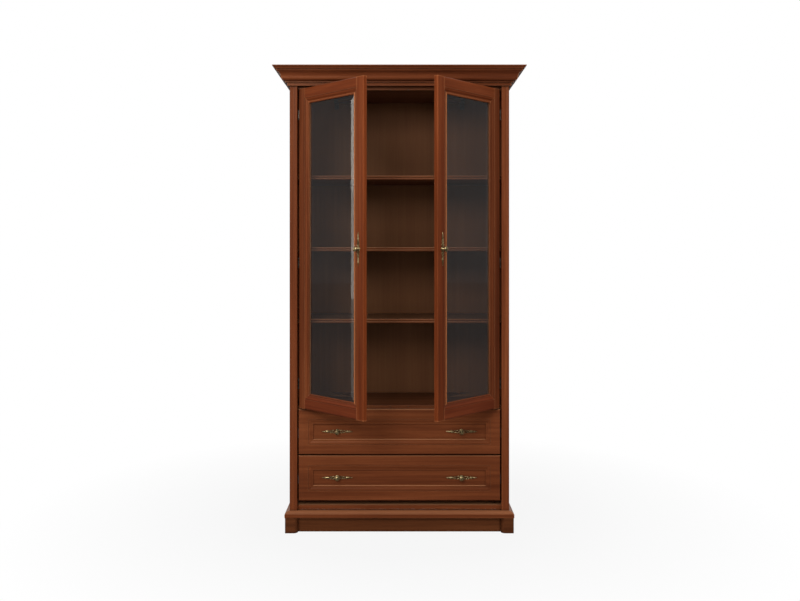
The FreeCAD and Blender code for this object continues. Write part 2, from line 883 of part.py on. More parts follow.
def make_cup(name, side, level):
    """Hinge cup with two lugs that carry the pin. Local x = 0, y = 0 is the pivot axis."""
    centre = side * (pivot_inset - cup_edge - cup_radius)
    low = level - lug_half
    cup = rod(f"{name}_bowl", cup_radius, cup_deep, centre, leaf_rear - cup_deep, level, "y")
    eye = rod(f"{name}_eye", eye_radius, lug_half * 2, 0, 0, low)
    inner = eye_radius + slot_play
    depth = (-eye_radius, leaf_rear - cup_deep + cup_wall)
    lug = span(f"{name}_lug", pair(-side, 0, notch_inner), depth, (low, level + lug_half))
    solid = merged(f"{name}_block", [cup, eye, lug])
    floor = leaf_rear - cup_deep + cup_wall
    hollow = rod(f"{name}_hollow", cup_radius - cup_wall, cup_deep, centre, floor, level, "y")
    window = span(
        f"{name}_window",
        pair(-side, notch_inner, cup_radius * 2),
        (-cup_radius, cup_radius),
        (level - cup_radius, level + cup_radius),
    )
    recess = overlap(f"{name}_recess", hollow, window)
    slot = span(
        f"{name}_slot",
        pair(-side, -cup_radius, inner),
        (-cup_radius, cup_radius),
        (level - eye_slot, level + eye_slot),
    )
    bore = rod(f"{name}_bore", hinge_pin_radius, lug_half * 2 + BEYOND * 2, 0, 0, low - BEYOND)
    return without(f"{name}_cup", solid, [recess, slot, bore])


def make_hinge_stile(name, side):
    """Hinge stile bored for the cups, with a notch beside each for its arm."""
    stile = make_stile(f"{name}_blank", lambda u: side * (pivot_inset - u), side)
    tools = []
    for level in hinge_levels:
        label = f"{name}_{len(tools)}"
        centre = side * (pivot_inset - cup_edge - cup_radius)
        tools.append(rod(f"{label}_cup", cup_radius, cup_deep * 2, centre, leaf_rear - cup_deep, level, "y"))
        notch = pair(-side, -pivot_inset * 2, notch_inner)
        depth = (-notch_front, cup_radius)
        tools.append(span(f"{label}_notch", notch, depth, (level - notch_half, level + notch_half)))
    return without(f"{name}_bored", stile, tools)


def make_door(side, word, opened):
    name = f"door_{word}"
    turn = side * opened

    def hang(item, label):
        node(put(item, side * pivot_x, pivot_y, door_low, turn), f"{name}_{label}")

    hang(make_hinge_stile(f"{name}_hinge", side), "hinge_stile")
    handle_x = side * (pivot_inset - door_wide + door_handle_inset)
    stile = make_stile(f"{name}_free", lambda u: side * (pivot_inset - door_wide + u), -side)
    depth = (-pivot_behind, leaf_rear)
    bore = drill(f"{name}_handle_bore", screw_radius, handle_x, depth, door_handle_high)
    hang(without(f"{name}_free_bored", stile, [bore]), "free_stile")
    hang(make_rail(f"{name}_rail_low", side, lambda v: v, 1), "bottom_rail")
    hang(make_rail(f"{name}_rail_high", side, lambda v: door_tall - v, -1), "top_rail")
    hang(make_glass(f"{name}_glass_set", side), "glass")
    hang(make_glass_beads(f"{name}_bead", side), "glass_beads")
    cups = []
    for level in hinge_levels:
        label = f"{name}_hinge_{len(cups)}"
        cups.append(make_cup(label, side, level))
        cups.append(rod(f"{label}_pin", hinge_pin_radius, lug_half * 2, 0, 0, level - lug_half))
    hang(group(f"{name}_hinge_set", cups), "hinges")
    handle = make_handle(f"{name}_pull", leaf_thick, handle_x, door_handle_high, True, -pivot_behind)
    hang(group(f"{name}_pull_node", [handle]), "handle")


def make_hinge_arms():
    """Fixed halves of the six hinges: an arm with an eye on each pin, on a block on the side panel."""
    arms = []
    blocks = []
    for side, word in SIDES:
        for level in hinge_levels:
            label = f"arm_{word}_{len(arms)}"
            height = door_low + level
            far_y = pivot_y + arm_clear
            cover_x = (pivot_x + arm_inner, pivot_x + arm_inner + arm_cover)
            eye = rod(f"{label}_eye", eye_radius, eye_half * 2, side * pivot_x, pivot_y, height - eye_half)
            thin = (height - eye_half, height + eye_half)
            wide = (height - arm_half, height + arm_half)
            near_x = pivot_x - arm_bar
            bar_x = pair(side, near_x, pivot_x + arm_bar)
            bar = span(f"{label}_bar", bar_x, (pivot_y, far_y + arm_thick), thin)
            elbow_y = (far_y, far_y + arm_thick)
            elbow = span(f"{label}_elbow", pair(side, near_x, cover_x[1]), elbow_y, wide)
            cover = span(f"{label}_cover", pair(side, *cover_x), (far_y, far_y + arm_reach), wide)
            solid = merged(f"{label}_arm", [eye, bar, elbow, cover])
            bore = rod(
                f"{label}_bore",
                hinge_pin_radius + hinge_running,
                eye_half * 2 + BEYOND * 2,
                side * pivot_x,
                pivot_y,
                height - eye_half - BEYOND,
            )
            arms.append(without(f"{label}_bored", solid, [bore]))
            blocks.append(
                span(
                    f"{label}_block",
                    pair(side, cover_x[1], half_inside),
                    (pivot_y + plate_start, pivot_y + plate_start + plate_long),
                    (height - plate_half, height + plate_half),
                )
            )
    node(group("arm_set", arms), "hinge_arms")
    node(group("block_set", blocks), "hinge_plates")


def make_door_bumpers():
    """Soft stops for the free corners of the doors, on the front edges of two panels."""
    stops = []
    levels = ((door_low + section_floor_top) / 2, (top_panel_low + door_low + door_tall) / 2)
    long = stop_gap - runner_play
    for side, word in SIDES:
        for level in levels:
            name = f"stop_{word}_{len(stops)}"
            stops.append(rod(name, bumper_radius, long, side * bumper_inset, panel_front - long, level, "y"))
    node(group("stop_set", stops), "door_bumpers")


# ---------------------------------------------------------------- drawers
def relief_section(half, swap):
    """Outline of the wood removed from a drawer front, drawn outside its face and inwards."""
    face = -leaf_thick
    wide = half - front_flat
    bent = wide - front_middle
    field = wide - front_band
    sign = -1 if swap else 1
    steps = [
        (-wide, face - BEYOND),
        (wide, face - BEYOND),
        (wide, face + band_step),
        (bent, face + front_middle_deep, front_ovolo_radius, -sign),
        (field + field_slope, face + front_deep, front_cove_radius, sign),
        (field, face + front_deep + field_step),
        (-field, face + front_deep + field_step),
        (-field - field_slope, face + front_deep),
        (-bent, face + front_middle_deep, front_cove_radius, sign),
        (-wide, face + band_step, front_ovolo_radius, -sign),
    ]
    return [(y, u, *arc) if swap else (u, y, *arc) for u, y, *arc in steps]


def make_drawer_front(name):
    """Milled front with a moulded recess. Its rear face is the local plane y = 0, its middle z = 0."""
    half_tall = front_tall / 2
    edges = [
        (-half_row, -half_tall),
        (half_row, -half_tall),
        (half_row, half_tall),
        (-half_row, half_tall),
    ]
    blank = pad(f"{name}_blank", "XZ_Plane", edges, leaf_thick)
    doc.recompute()
    face = blank.Tip
    rim = [
        f"Edge{count + 1}"
        for count, edge in enumerate(face.Shape.Edges)
        if all(abs(corner.Y + leaf_thick.value) < 1e-6 for corner in edge.Vertexes)
    ]
    soft = blank.newObject("PartDesign::Fillet", f"{name}_rounding")
    soft.Base = (face, rim)
    soft.Radius = number(edge_round)
    bind(soft, "Radius", edge_round)
    blank.Tip = soft
    level = pad(f"{name}_relief_level", "XY_Plane", relief_section(half_row, False), front_tall, both=True)
    upright = pad(
        f"{name}_relief_upright", "YZ_Plane", relief_section(half_tall, True), half_row * 2, both=True
    )
    tools = [overlap(f"{name}_relief", level, upright)]
    for side, word in SIDES:
        tools.append(drill(f"{name}_bore_{word}", screw_radius, side * drawer_handle_x, (-leaf_thick, 0), 0))
    return without(f"{name}_milled", blank, tools)


def make_drawer(word, low):
    name = f"drawer_{word}"
    leaf_back = leaf_front + leaf_thick
    node(put(make_drawer_front(name), 0, leaf_back, low + front_tall / 2), f"{name}_front")
    outer = half_opening - runner_space
    inner = outer - box_board
    box_low = low + box_raise
    box_rear = leaf_back + box_long
    rise = (box_low, box_low + box_tall)
    floor = (box_low + floor_raise, box_low + floor_raise + box_floor)
    sides = []
    for side, side_word in SIDES:
        cheek = span(f"{name}_cheek_{side_word}", pair(side, inner, outer), (leaf_back, box_rear), rise)
        groove = span(
            f"{name}_groove_{side_word}",
            pair(side, inner - box_board, inner + floor_groove),
            (leaf_back - BEYOND, box_rear + BEYOND),
            floor,
        )
        sides.append(without(f"{name}_side_{side_word}", cheek, [groove]))
    node(group(f"{name}_side_pair", sides), f"{name}_sides")
    rear = (box_rear - box_board, box_rear)
    node(span(f"{name}_rear", (-inner, inner), rear, (floor[1], rise[1])), f"{name}_back")
    half_floor = inner + floor_groove
    node(span(f"{name}_floor", (-half_floor, half_floor), (leaf_back, box_rear), floor), f"{name}_bottom")
    runner_low = box_low + runner_raise
    slides = []
    for side, side_word in SIDES:
        inset = runner_wall + runner_play
        slides.append(
            span(
                f"{name}_slide_{side_word}",
                pair(side, outer, half_opening - inset),
                (leaf_back + joint_play, box_rear - joint_play),
                (runner_low + inset, runner_low + runner_tall - inset),
            )
        )
    node(group(f"{name}_slide_pair", slides), f"{name}_runners")
    milled = front_deep + field_step
    pulls = [
        make_handle(
            f"{name}_pull_{side_word}",
            leaf_thick - milled,
            side * drawer_handle_x,
            low + front_tall / 2,
            False,
            leaf_front + milled,
        )
        for side, side_word in SIDES
    ]
    node(group(f"{name}_pull_pair", pulls), f"{name}_handles")


def make_cabinet_runners():
    """Channels that carry the drawers, on strips that bring them out to the pilasters."""
    channels = []
    strips = []
    for level in drawer_levels:
        low = level + box_raise + runner_raise
        for side, word in SIDES:
            name = f"channel_{word}_{len(channels)}"
            depth = (panel_front + joint_play, leaf_front + leaf_thick + box_long)
            rise = (low, low + runner_tall)
            outside_x = pair(side, half_opening - runner_space + runner_play, half_opening)
            outside = span(f"{name}_outside", outside_x, depth, rise)
            hollow = span(
                f"{name}_hollow",
                pair(side, half_opening - runner_space * 2, half_opening - runner_wall),
                (depth[0] - BEYOND, depth[1] + BEYOND),
                (low + runner_wall, low + runner_tall - runner_wall),
            )
            channels.append(without(name, outside, [hollow]))
            strips.append(
                span(
                    f"{name}_strip",
                    pair(side, half_opening, half_inside),
                    (panel_front, depth[1]),
                    (low - spacer_spare, low + runner_tall + spacer_spare),
                )
            )
    node(group("channel_set", channels), "cabinet_runners")
    node(group("strip_set", strips), "runner_spacers")


# ---------------------------------------------------------------- the whole bookcase
drawer_levels = (lower_front_low, upper_front_low)
make_plinth()
make_run("base_moulding", base_section, base_overhang, plinth_recess)
make_feet()
make_side_panels()
make_panels()
make_back()
make_pilasters()
make_run("crown_moulding", crown_section, crown_bead, 0)
make_top_board()
make_shelves()
make_wall_brackets()
make_hinge_arms()
make_door_bumpers()
make_cabinet_runners()
for door_side, door_word, door_angle in ((-1, "left", left_open), (1, "right", right_open)):
    make_door(door_side, door_word, door_angle)
for drawer_word, drawer_level in zip(("lower", "upper"), drawer_levels):
    make_drawer(drawer_word, drawer_level)
doc.recompute()

for item in doc.Objects:
    if "Invalid" in item.State or "Error" in item.State:
        raise RuntimeError(f"{item.Name} failed: {item.State}")
os.makedirs("parts", exist_ok=True)
for item in nodes:
    if item.Shape.isNull() or not item.Shape.isValid() or not item.Shape.Solids:
        raise RuntimeError(f"{item.Label} has no valid solid")
    item.Shape.exportStep(f"parts/{item.Label}.step")
print(len(nodes), "nodes written")
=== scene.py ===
import json
import math
import random

import bmesh
import bpy
from mathutils import Matrix, Vector


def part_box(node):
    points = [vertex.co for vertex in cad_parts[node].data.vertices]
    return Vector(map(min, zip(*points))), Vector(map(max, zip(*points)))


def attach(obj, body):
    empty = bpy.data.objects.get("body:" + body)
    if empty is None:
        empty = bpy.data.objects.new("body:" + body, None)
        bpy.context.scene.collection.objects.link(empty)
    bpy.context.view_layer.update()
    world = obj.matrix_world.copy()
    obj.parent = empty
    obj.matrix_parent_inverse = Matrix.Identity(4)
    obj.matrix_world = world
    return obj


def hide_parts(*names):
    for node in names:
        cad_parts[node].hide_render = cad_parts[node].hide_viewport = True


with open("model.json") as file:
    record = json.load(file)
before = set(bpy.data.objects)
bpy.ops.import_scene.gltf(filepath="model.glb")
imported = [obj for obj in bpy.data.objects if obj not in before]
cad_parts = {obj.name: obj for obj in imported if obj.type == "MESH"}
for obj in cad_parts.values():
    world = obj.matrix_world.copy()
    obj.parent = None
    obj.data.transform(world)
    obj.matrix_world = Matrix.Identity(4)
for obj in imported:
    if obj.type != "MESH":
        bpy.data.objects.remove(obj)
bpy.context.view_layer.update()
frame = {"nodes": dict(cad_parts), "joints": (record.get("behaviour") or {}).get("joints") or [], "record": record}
NODES = frame["nodes"]
RECORD = frame["record"]
JOINTS = {joint["name"]: joint for joint in frame["joints"]}

SIDES = ((-1, "left"), (1, "right"))
# How far each door stands open at rest, from the range of its hinge.
OPENED = {word: -JOINTS[f"door_{word}_hinge"]["range_deg"][0] for _, word in SIDES}
PIVOT = {word: Vector(JOINTS[f"door_{word}_hinge"]["pos_m"]) for _, word in SIDES}
DOOR_TURN = {word: math.radians(side * OPENED[word]) for side, word in SIDES}

# Cherry foil, as linear colours: dark streak, middle and light streak.
CHERRY = ((0.085, 0.0195, 0.007), (0.147, 0.0355, 0.0115), (0.218, 0.0605, 0.0205))
CHERRY_WARM = ((0.09, 0.0175, 0.0051), (0.158, 0.0317, 0.0081), (0.231, 0.0535, 0.0148))
CHERRY_DEEP = ((0.078, 0.0175, 0.006), (0.125, 0.0305, 0.0098), (0.18, 0.048, 0.016))
CHERRY_RED = ((0.08, 0.0145, 0.005), (0.132, 0.025, 0.0078), (0.185, 0.039, 0.0125))
CHERRY_INSIDE = ((0.077, 0.022, 0.0083), (0.126, 0.0375, 0.0145), (0.18, 0.058, 0.0232))
CHERRY_FRONT = ((0.086, 0.0205, 0.0072), (0.139, 0.0355, 0.0118), (0.2, 0.056, 0.019))
# Darker copy for the plinth and the feet: painted shade.
CHERRY_SHADE = ((0.065, 0.0185, 0.0065), (0.106, 0.0315, 0.0107), (0.146, 0.045, 0.0158))
BACK_BROWN = ((0.091, 0.035, 0.0155), (0.117, 0.0465, 0.0204), (0.143, 0.059, 0.0258))
BOX_BROWN = ((0.1, 0.038, 0.016), (0.17, 0.068, 0.028), (0.24, 0.105, 0.047))
WHITE = (1, 1, 1, 1)


# ---------------------------------------------------------------- material helpers
class Graph:
    """Short way to fill the node tree of a material or a world."""

    def __init__(self, owner):
        self.owner = owner
        owner.use_nodes = True
        self.tree = owner.node_tree
        self.tree.nodes.clear()

    @classmethod
    def material(cls, name):
        return cls(bpy.data.materials.new(name))

    def put(self, socket, value):
        """Feed an input from another socket, or set it to a plain value."""
        if isinstance(value, bpy.types.NodeSocket):
            self.tree.links.new(value, socket)
        else:
            socket.default_value = value

    def add(self, kind, inputs=None, **settings):
        made = self.tree.nodes.new("ShaderNode" + kind)
        for key, value in settings.items():
            setattr(made, key, value)
        for key, value in (inputs or {}).items():
            self.put(made.inputs[key], value)
        return made

    def out(self, surface):
        self.add("OutputMaterial", {"Surface": surface})
        return self.owner

    def math(self, operation, first, second=0.0, clamp=False):
        inputs = {0: first, 1: second}
        return self.add("Math", inputs, operation=operation, use_clamp=clamp).outputs[0]

    def spread(self, value, low, high, to_low=0.0, to_high=1.0):
        inputs = {"Value": value, "From Min": low, "From Max": high}
        inputs.update({"To Min": to_low, "To Max": to_high})
        return self.add("MapRange", inputs).outputs[0]

    def ramp(self, value, stops):
        made = self.add("ValToRGB", {"Fac": value})
        bar = made.color_ramp.elements
        while len(bar) < len(stops):
            bar.new(0.5)
        for element, (place, colour) in zip(bar, stops):
            element.position = place
            element.color = (*colour, 1.0)
        return made.outputs["Color"]

    def mix(self, share, first, second, blend="MIX"):
        made = self.add("Mix", data_type="RGBA", blend_type=blend)
        for index, value in ((0, share), (6, first), (7, second)):
            self.put(made.inputs[index], value)
        return made.outputs[2]

    def mix_shaders(self, share, first, second):
        inputs = {0: share, 1: first.outputs[0], 2: second.outputs[0]}
        return self.add("MixShader", inputs)

    def coords(self):
        return self.add("TexCoord").outputs["Object"]

    def noise(self, vector, scale=1.0, detail=2.0, roughness=0.5, distortion=0.0):
        inputs = {"Vector": vector, "Scale": scale, "Detail": detail}
        inputs.update({"Roughness": roughness, "Distortion": distortion})
        return self.add("TexNoise", inputs).outputs["Fac"]

    def stretched(self, vector, along, across):
        return self.add("Mapping", {"Vector": vector, "Scale": (along, across, across)}).outputs[0]

    def occlusion(self, distance, samples, inside=False):
        inputs = {"Distance": distance}
        made = self.add("AmbientOcclusion", inputs, samples=samples, inside=inside)
        return made.outputs["AO"]

    def bump(self, strength, distance, height):
        inputs = {"Strength": strength, "Distance": distance, "Height": height}
        return self.add("Bump", inputs).outputs[0]


# The turn that brings each grain direction to the X axis of the grain pattern.
GRAIN_TURN = {
    "x": (0, 0, 0),
    "y": (0, 0, -math.pi / 2),
    "z": (0, math.pi / 2, 0),
    "left": (0, 0, -DOOR_TURN["left"]),
    "right": (0, 0, -DOOR_TURN["right"]),
}
# Scale of each part of the print, along and across the grain.
FIGURE_SCALE = (0.7, 8)
LINE_SCALE = (1.3, 70)
FIBRE_SCALE = (9, 480)
PORE_SCALE = (42, 1150)
# Half the range of noise that the streaks take up, and the fibres' contrast, by plainness.
STREAK_RANGE = {True: 0.36, False: 0.21}
FIBRE_CONTRAST = {True: 0.04, False: 0.14}
FIBRE_LEVEL = 0.98
STREAK_STOPS = (0.12, 0.5, 0.9)
FIBRE_SPAN = (0.3, 0.7)         # each span is where an effect starts and where it is full
PORE_SPAN = (0.6, 0.68)
SLOPE_SPAN = (0.4, 0.72)        # of the upward part of a normal
FLAT_SPAN = (0.85, 0.98)
HOLLOW_SPAN = (0.9, 0.4)        # of openness
ARRIS_SPAN = (0.8, 0.3)
PORE_DEPTH = 0.45
HOLLOW_REACH = 0.012            # how far out of a groove the painted shade goes
ARRIS_REACH = 0.002             # how wide the painted highlight along an arris is
# Share of the painted highlight along an arris.
ARRIS_HIGHLIGHT_SHARE = 0.75
OCCLUSION_SAMPLES = 4
HIGHLIGHT_GAIN = (2.0, 3.1, 4.2)        # how much lighter a painted highlight is than the light streak
SHADE_TONE = 0.25               # how light painted shade is beside the dark streak
# Share of painted shade in the grooves of the foil; where it is set, the arrises get a painted highlight too.
FOIL_GROOVE_SHADE = 0.8
FOIL_ROUGHNESS = 0.42
ROUGHNESS_SWING = 0.05
FOIL_BUMP = (0.12, 0.0004)      # strength, and depth in metres
FOIL_SPECULAR = 0.12
FOIL_TINT = (1.0, 0.62, 0.4, 1.0)
FOIL_COAT = 0.02
COAT_ROUGHNESS = 0.28


def wood(name, colours, grain, seed, stain=FOIL_GROOVE_SHADE, ledge=0.0, tops=0.0,
         reach=ARRIS_REACH, plain=False, coat=FOIL_COAT):
    """Foil printed as cherry: figure, growth lines, fibres and pores along the grain.

    Painted shade darkens the hollows of the mouldings and the flat upper faces, and a painted
    highlight lightens the arrises and the faces that slope upwards.
    """
    half_range = STREAK_RANGE[plain]
    contrast = FIBRE_CONTRAST[plain]
    g = Graph.material(name)
    place = random.Random(seed)
    shift = tuple(place.uniform(-9, 9) for _ in range(3))
    turned = g.add("Mapping", {"Vector": g.coords(), "Rotation": GRAIN_TURN[grain]}).outputs[0]
    run = g.add("Mapping", {"Vector": turned, "Location": shift}).outputs[0]
    figure = g.noise(g.stretched(run, *FIGURE_SCALE), 1.0, 4, 0.5, 0.5)
    lines = g.noise(g.stretched(run, *LINE_SCALE), 1.0, 3, 0.5, 0.35)
    fibres = g.noise(g.stretched(run, *FIBRE_SCALE), 1.0, 3, 0.6)
    pores = g.noise(g.stretched(run, *PORE_SCALE), 1.0, 1, 0.5)
    tone = g.math("ADD", g.math("MULTIPLY", figure, 0.5), g.math("MULTIPLY", lines, 0.5))
    tone = g.spread(tone, 0.5 - half_range, 0.5 + half_range)
    colour = g.ramp(tone, tuple(zip(STREAK_STOPS, colours)))
    grey = g.spread(fibres, *FIBRE_SPAN, FIBRE_LEVEL - contrast, FIBRE_LEVEL + contrast)
    shade = g.add("CombineColor", {"Red": grey, "Green": grey, "Blue": grey}).outputs[0]
    colour = g.mix(1.0, colour, shade, "MULTIPLY")
    pore = g.spread(pores, *PORE_SPAN, 0.0, PORE_DEPTH)
    colour = g.mix(pore, colour, (*colours[0], 1.0))
    painted_highlight = (*(more * part for more, part in zip(HIGHLIGHT_GAIN, colours[2])), 1.0)
    stained = (*(SHADE_TONE * part for part in colours[0]), 1.0)
    normal = g.add("NewGeometry").outputs["Normal"]
    upright = g.add("SeparateXYZ", {"Vector": normal}).outputs["Z"]
    # Painted highlight on faces that slope upwards, as though lit from above.
    if ledge:
        colour = g.mix(g.spread(upright, *SLOPE_SPAN, 0.0, ledge), colour, painted_highlight)
    # Painted shade on flat upper faces.
    if tops:
        colour = g.mix(g.spread(upright, *FLAT_SPAN, 0.0, tops), colour, stained)
    # Painted shade in the hollows, and a painted highlight along the arrises.
    if stain:
        hollow = g.occlusion(HOLLOW_REACH, OCCLUSION_SAMPLES)
        colour = g.mix(g.spread(hollow, *HOLLOW_SPAN, 0.0, stain), colour, stained)
        arris = g.occlusion(reach, OCCLUSION_SAMPLES, inside=True)
        colour = g.mix(g.spread(arris, *ARRIS_SPAN, 0.0, ARRIS_HIGHLIGHT_SHARE), colour, painted_highlight)
    relief = g.math("SUBTRACT", g.math("MULTIPLY", fibres, 0.5), pore)
    rough, smooth = FOIL_ROUGHNESS + ROUGHNESS_SWING, FOIL_ROUGHNESS - ROUGHNESS_SWING
    shader = g.add(
        "BsdfPrincipled",
        {
            "Base Color": colour,
            "Roughness": g.spread(tone, 0.0, 1.0, rough, smooth),
            "Normal": g.bump(*FOIL_BUMP, relief),
            "Specular IOR Level": FOIL_SPECULAR,
            "Specular Tint": FOIL_TINT,
            "Coat Weight": coat,
            "Coat Roughness": COAT_ROUGHNESS,
        },
    )
    return g.out(shader.outputs[0])


METAL_FINE = 14                 # how much finer the fine grain is than the clouds
METAL_SPAN = (0.38, 0.62)
METAL_STOPS = (0.05, 0.85)
METAL_HOLLOW = 0.004
METAL_HOLLOW_SAMPLES = 6
METAL_HOLLOW_SPREAD = (0.45, 0.95, 0.1, 1.0)
METAL_SWING = 0.2
METAL_BUMP = (0.15, 0.0002)


def metal(name, dark, light, rough, seed, scale):
    """Plated or patinated metal: bright on what stands out, dark in the hollows, as patina on brass and as painted
    shade on plated metal.
    """
    g = Graph.material(name)
    place = random.Random(seed)
    shift = tuple(place.uniform(-5, 5) for _ in range(3))
    run = g.add("Mapping", {"Vector": g.coords(), "Location": shift}).outputs[0]
    cloud = g.noise(run, scale, 4, 0.6)
    fine = g.noise(run, scale * METAL_FINE, 3, 0.65)
    tone = g.math("ADD", g.math("MULTIPLY", cloud, 0.7), g.math("MULTIPLY", fine, 0.3))
    tone = g.spread(tone, *METAL_SPAN)
    # Darkening in the hollows: patina on the brass, painted shade on the plated nickel and zinc.
    hollow = g.spread(g.occlusion(METAL_HOLLOW, METAL_HOLLOW_SAMPLES), *METAL_HOLLOW_SPREAD)
    tone = g.math("MULTIPLY", tone, hollow, clamp=True)
    inputs = {
        "Base Color": g.ramp(tone, tuple(zip(METAL_STOPS, (dark, light)))),
        "Metallic": 1.0,
        "Roughness": g.spread(tone, 0, 1, rough + METAL_SWING, rough),
        "Normal": g.bump(*METAL_BUMP, fine),
    }
    return g.out(g.add("BsdfPrincipled", inputs).outputs[0])


GLASS_FILM = ((0.3, (0.77, 0.81, 0.85)), (0.7, (0.8, 0.84, 0.87)))
OPEN_TINT = (0.86, 0.88, 0.87, 1.0)
GLASS_IOR = 1.5


def clear_glass(name, pane_shade_factor):
    """Bevelled float glass with a faint film. Shadows and scattered light pass through it."""
    g = Graph.material(name)
    film = g.noise(g.stretched(g.coords(), 2.2, 2.2), 1.0, 4, 0.6)
    # Tones scaled down for a pane that is painted darker: painted shade.
    stops = tuple((place, tuple(pane_shade_factor * part for part in tone)) for place, tone in GLASS_FILM)
    inputs = {"Base Color": g.ramp(film, stops), "Roughness": 0.0}
    pane = g.add("BsdfPrincipled", {**inputs, "Transmission Weight": 1.0, "IOR": GLASS_IOR})
    path = g.add("LightPath").outputs
    through = g.math("MAXIMUM", path["Is Shadow Ray"], path["Is Diffuse Ray"])
    open_way = g.add("BsdfTransparent", {"Color": OPEN_TINT})
    return g.out(g.mix_shaders(through, pane, open_way).outputs[0])


def fine_grained(name, dark, light):
    """Graph, cloud and shader inputs of a dark matt surface with a fine grain."""
    g = Graph.material(name)
    cloud = g.noise(g.coords(), 900, 2, 0.5)
    colour = g.ramp(cloud, ((0.3, dark), (0.7, light)))
    inputs = {"Base Color": colour, "Roughness": g.spread(cloud, 0, 1, 0.45, 0.6)}
    return g, cloud, inputs


def soft_stop(name):
    g, _, inputs = fine_grained(name, (0.035, 0.018, 0.01), (0.055, 0.03, 0.018))
    inputs["Subsurface Weight"] = 0.2
    return g.out(g.add("BsdfPrincipled", inputs).outputs[0])


def brown_paint(name):
    """Powder coat with a fine orange-peel texture."""
    g, peel, inputs = fine_grained(name, (0.03, 0.014, 0.008), (0.045, 0.02, 0.012))
    inputs["Normal"] = g.bump(0.2, 0.0001, peel)
    return g.out(g.add("BsdfPrincipled", inputs).outputs[0])


def sight(g):
    """Whether a ray comes from the camera, straight or through glass, and whether mirrored."""
    path = g.add("LightPath").outputs
    bent = g.math("MINIMUM", path["Glossy Depth"], 1.0)
    clear = g.math("MULTIPLY", path["Is Transmission Ray"], g.math("SUBTRACT", 1.0, bent))
    seen = g.math("ADD", path["Is Camera Ray"], clear, clamp=True)
    reflected = g.math("MAXIMUM", path["Is Glossy Ray"], path["Is Transmission Ray"])
    return seen, reflected


MIRRORED_FLOOR = 0.15
FLOOR_TONES = ((0.3, (0.23, 0.23, 0.23)), (0.7, (0.27, 0.27, 0.27)))
FLOOR_FADE = (0.7, 1.8, 0.9, 1.0)     # from and to in metres, share of white at each


def pale_floor(name):
    """Pale floor that turns to plain white away from the case, so that no horizon shows."""
    g = Graph.material(name)
    coords = g.coords()
    reach = g.add("VectorMath", {0: coords}, operation="LENGTH").outputs["Value"]
    colour = g.ramp(g.noise(coords, 1.3, 3, 0.5), FLOOR_TONES)
    lit = g.add("BsdfDiffuse", {"Color": colour})
    white = g.add("Emission", {"Color": WHITE, "Strength": 1.0})
    mirrored = g.add("Emission", {"Color": WHITE, "Strength": MIRRORED_FLOOR})
    seen, reflected = sight(g)
    near = g.mix_shaders(reflected, lit, mirrored)
    share = g.math("MULTIPLY", seen, g.spread(reach, *FLOOR_FADE), clamp=True)
    return g.out(g.mix_shaders(share, near, white).outputs[0])


# ---------------------------------------------------------------- dressing the CAD nodes
WELD = 0.00001
ARRIS_ANGLE = math.radians(32.0)
NORMALS_WEIGHT = 60
BOARD_ARRIS = 0.0008
FOOT_ARRIS = 0.0012
METAL_ARRIS = 0.0003


def soften(piece, width):
    """Small rounded arrises on a CAD node, as modifiers over its own mesh."""
    weld = piece.modifiers.new("weld", "WELD")
    weld.merge_threshold = WELD
    bevel = piece.modifiers.new("arris", "BEVEL")
    bevel.width = width
    bevel.segments = 2
    bevel.limit_method = "ANGLE"
    bevel.angle_limit = ARRIS_ANGLE
    bevel.use_clamp_overlap = True
    normals = piece.modifiers.new("normals", "WEIGHTED_NORMAL")
    normals.keep_sharp = False
    normals.weight = NORMALS_WEIGHT


def dress(name, material, arris=0.0):
    piece = NODES[name]
    piece.data.materials.clear()
    piece.data.materials.append(material)
    if arris:
        soften(piece, arris)


BOARDS = (
    # node, colours, grain direction, arris
    ("plinth_front", CHERRY_SHADE, "x", BOARD_ARRIS),
    ("plinth_sides", CHERRY_SHADE, "y", BOARD_ARRIS),
    ("plinth_rear", CHERRY_SHADE, "x", BOARD_ARRIS),
    ("base_moulding_front", CHERRY_DEEP, "x", 0),
    ("base_moulding_sides", CHERRY_DEEP, "y", 0),
    ("front_feet", CHERRY_SHADE, "x", FOOT_ARRIS),
    ("rear_feet", CHERRY_SHADE, "y", FOOT_ARRIS),
    ("side_panel_left", CHERRY, "z", BOARD_ARRIS),
    ("side_panel_right", CHERRY, "z", BOARD_ARRIS),
    ("pilaster_left", CHERRY, "z", 0),
    ("pilaster_right", CHERRY, "z", 0),
    ("header_rail", CHERRY, "x", BOARD_ARRIS),
    ("rear_header_rail", CHERRY_INSIDE, "x", BOARD_ARRIS),
    ("crown_moulding_front", CHERRY, "x", 0),
    ("crown_moulding_sides", CHERRY, "y", 0),
    ("top_board", CHERRY, "x", 0),
    ("top_panel", CHERRY_INSIDE, "x", BOARD_ARRIS),
    ("middle_panel", CHERRY_INSIDE, "x", BOARD_ARRIS),
    ("bottom_panel", CHERRY, "x", BOARD_ARRIS),
    ("shelf_lower", CHERRY_INSIDE, "x", 0),
    ("shelf_middle", CHERRY_INSIDE, "x", 0),
    ("shelf_upper", CHERRY_INSIDE, "x", 0),
    ("runner_spacers", CHERRY_INSIDE, "y", BOARD_ARRIS),
    ("back_panel_lower", BACK_BROWN, "z", 0),
    ("back_panel_upper", BACK_BROWN, "z", 0),
)
# Share of painted shade in the grooves of a board, with a painted highlight on its arrises; the boards inside get
# less and the back panels none.
BOARD_GROOVE_SHADE = 0.85
GROOVE_SHADE_OF = {CHERRY_INSIDE: 0.5, BACK_BROWN: 0.0}
MOULDED_SLOPE_HIGHLIGHT = 0.42      # painted highlight on the slopes of the base moulding and the shelf beads
# The bottom panel gets little painted shade and a full painted highlight on its upward faces.
BOTTOM_GROOVE_SHADE = 0.1
BOTTOM_SLOPE_HIGHLIGHT = 1.0
# Painted shade on the flat upper faces of the shelves and of the middle panel.
SHELF_TOP_SHADE = 0.7
MIDDLE_TOP_SHADE = 0.5


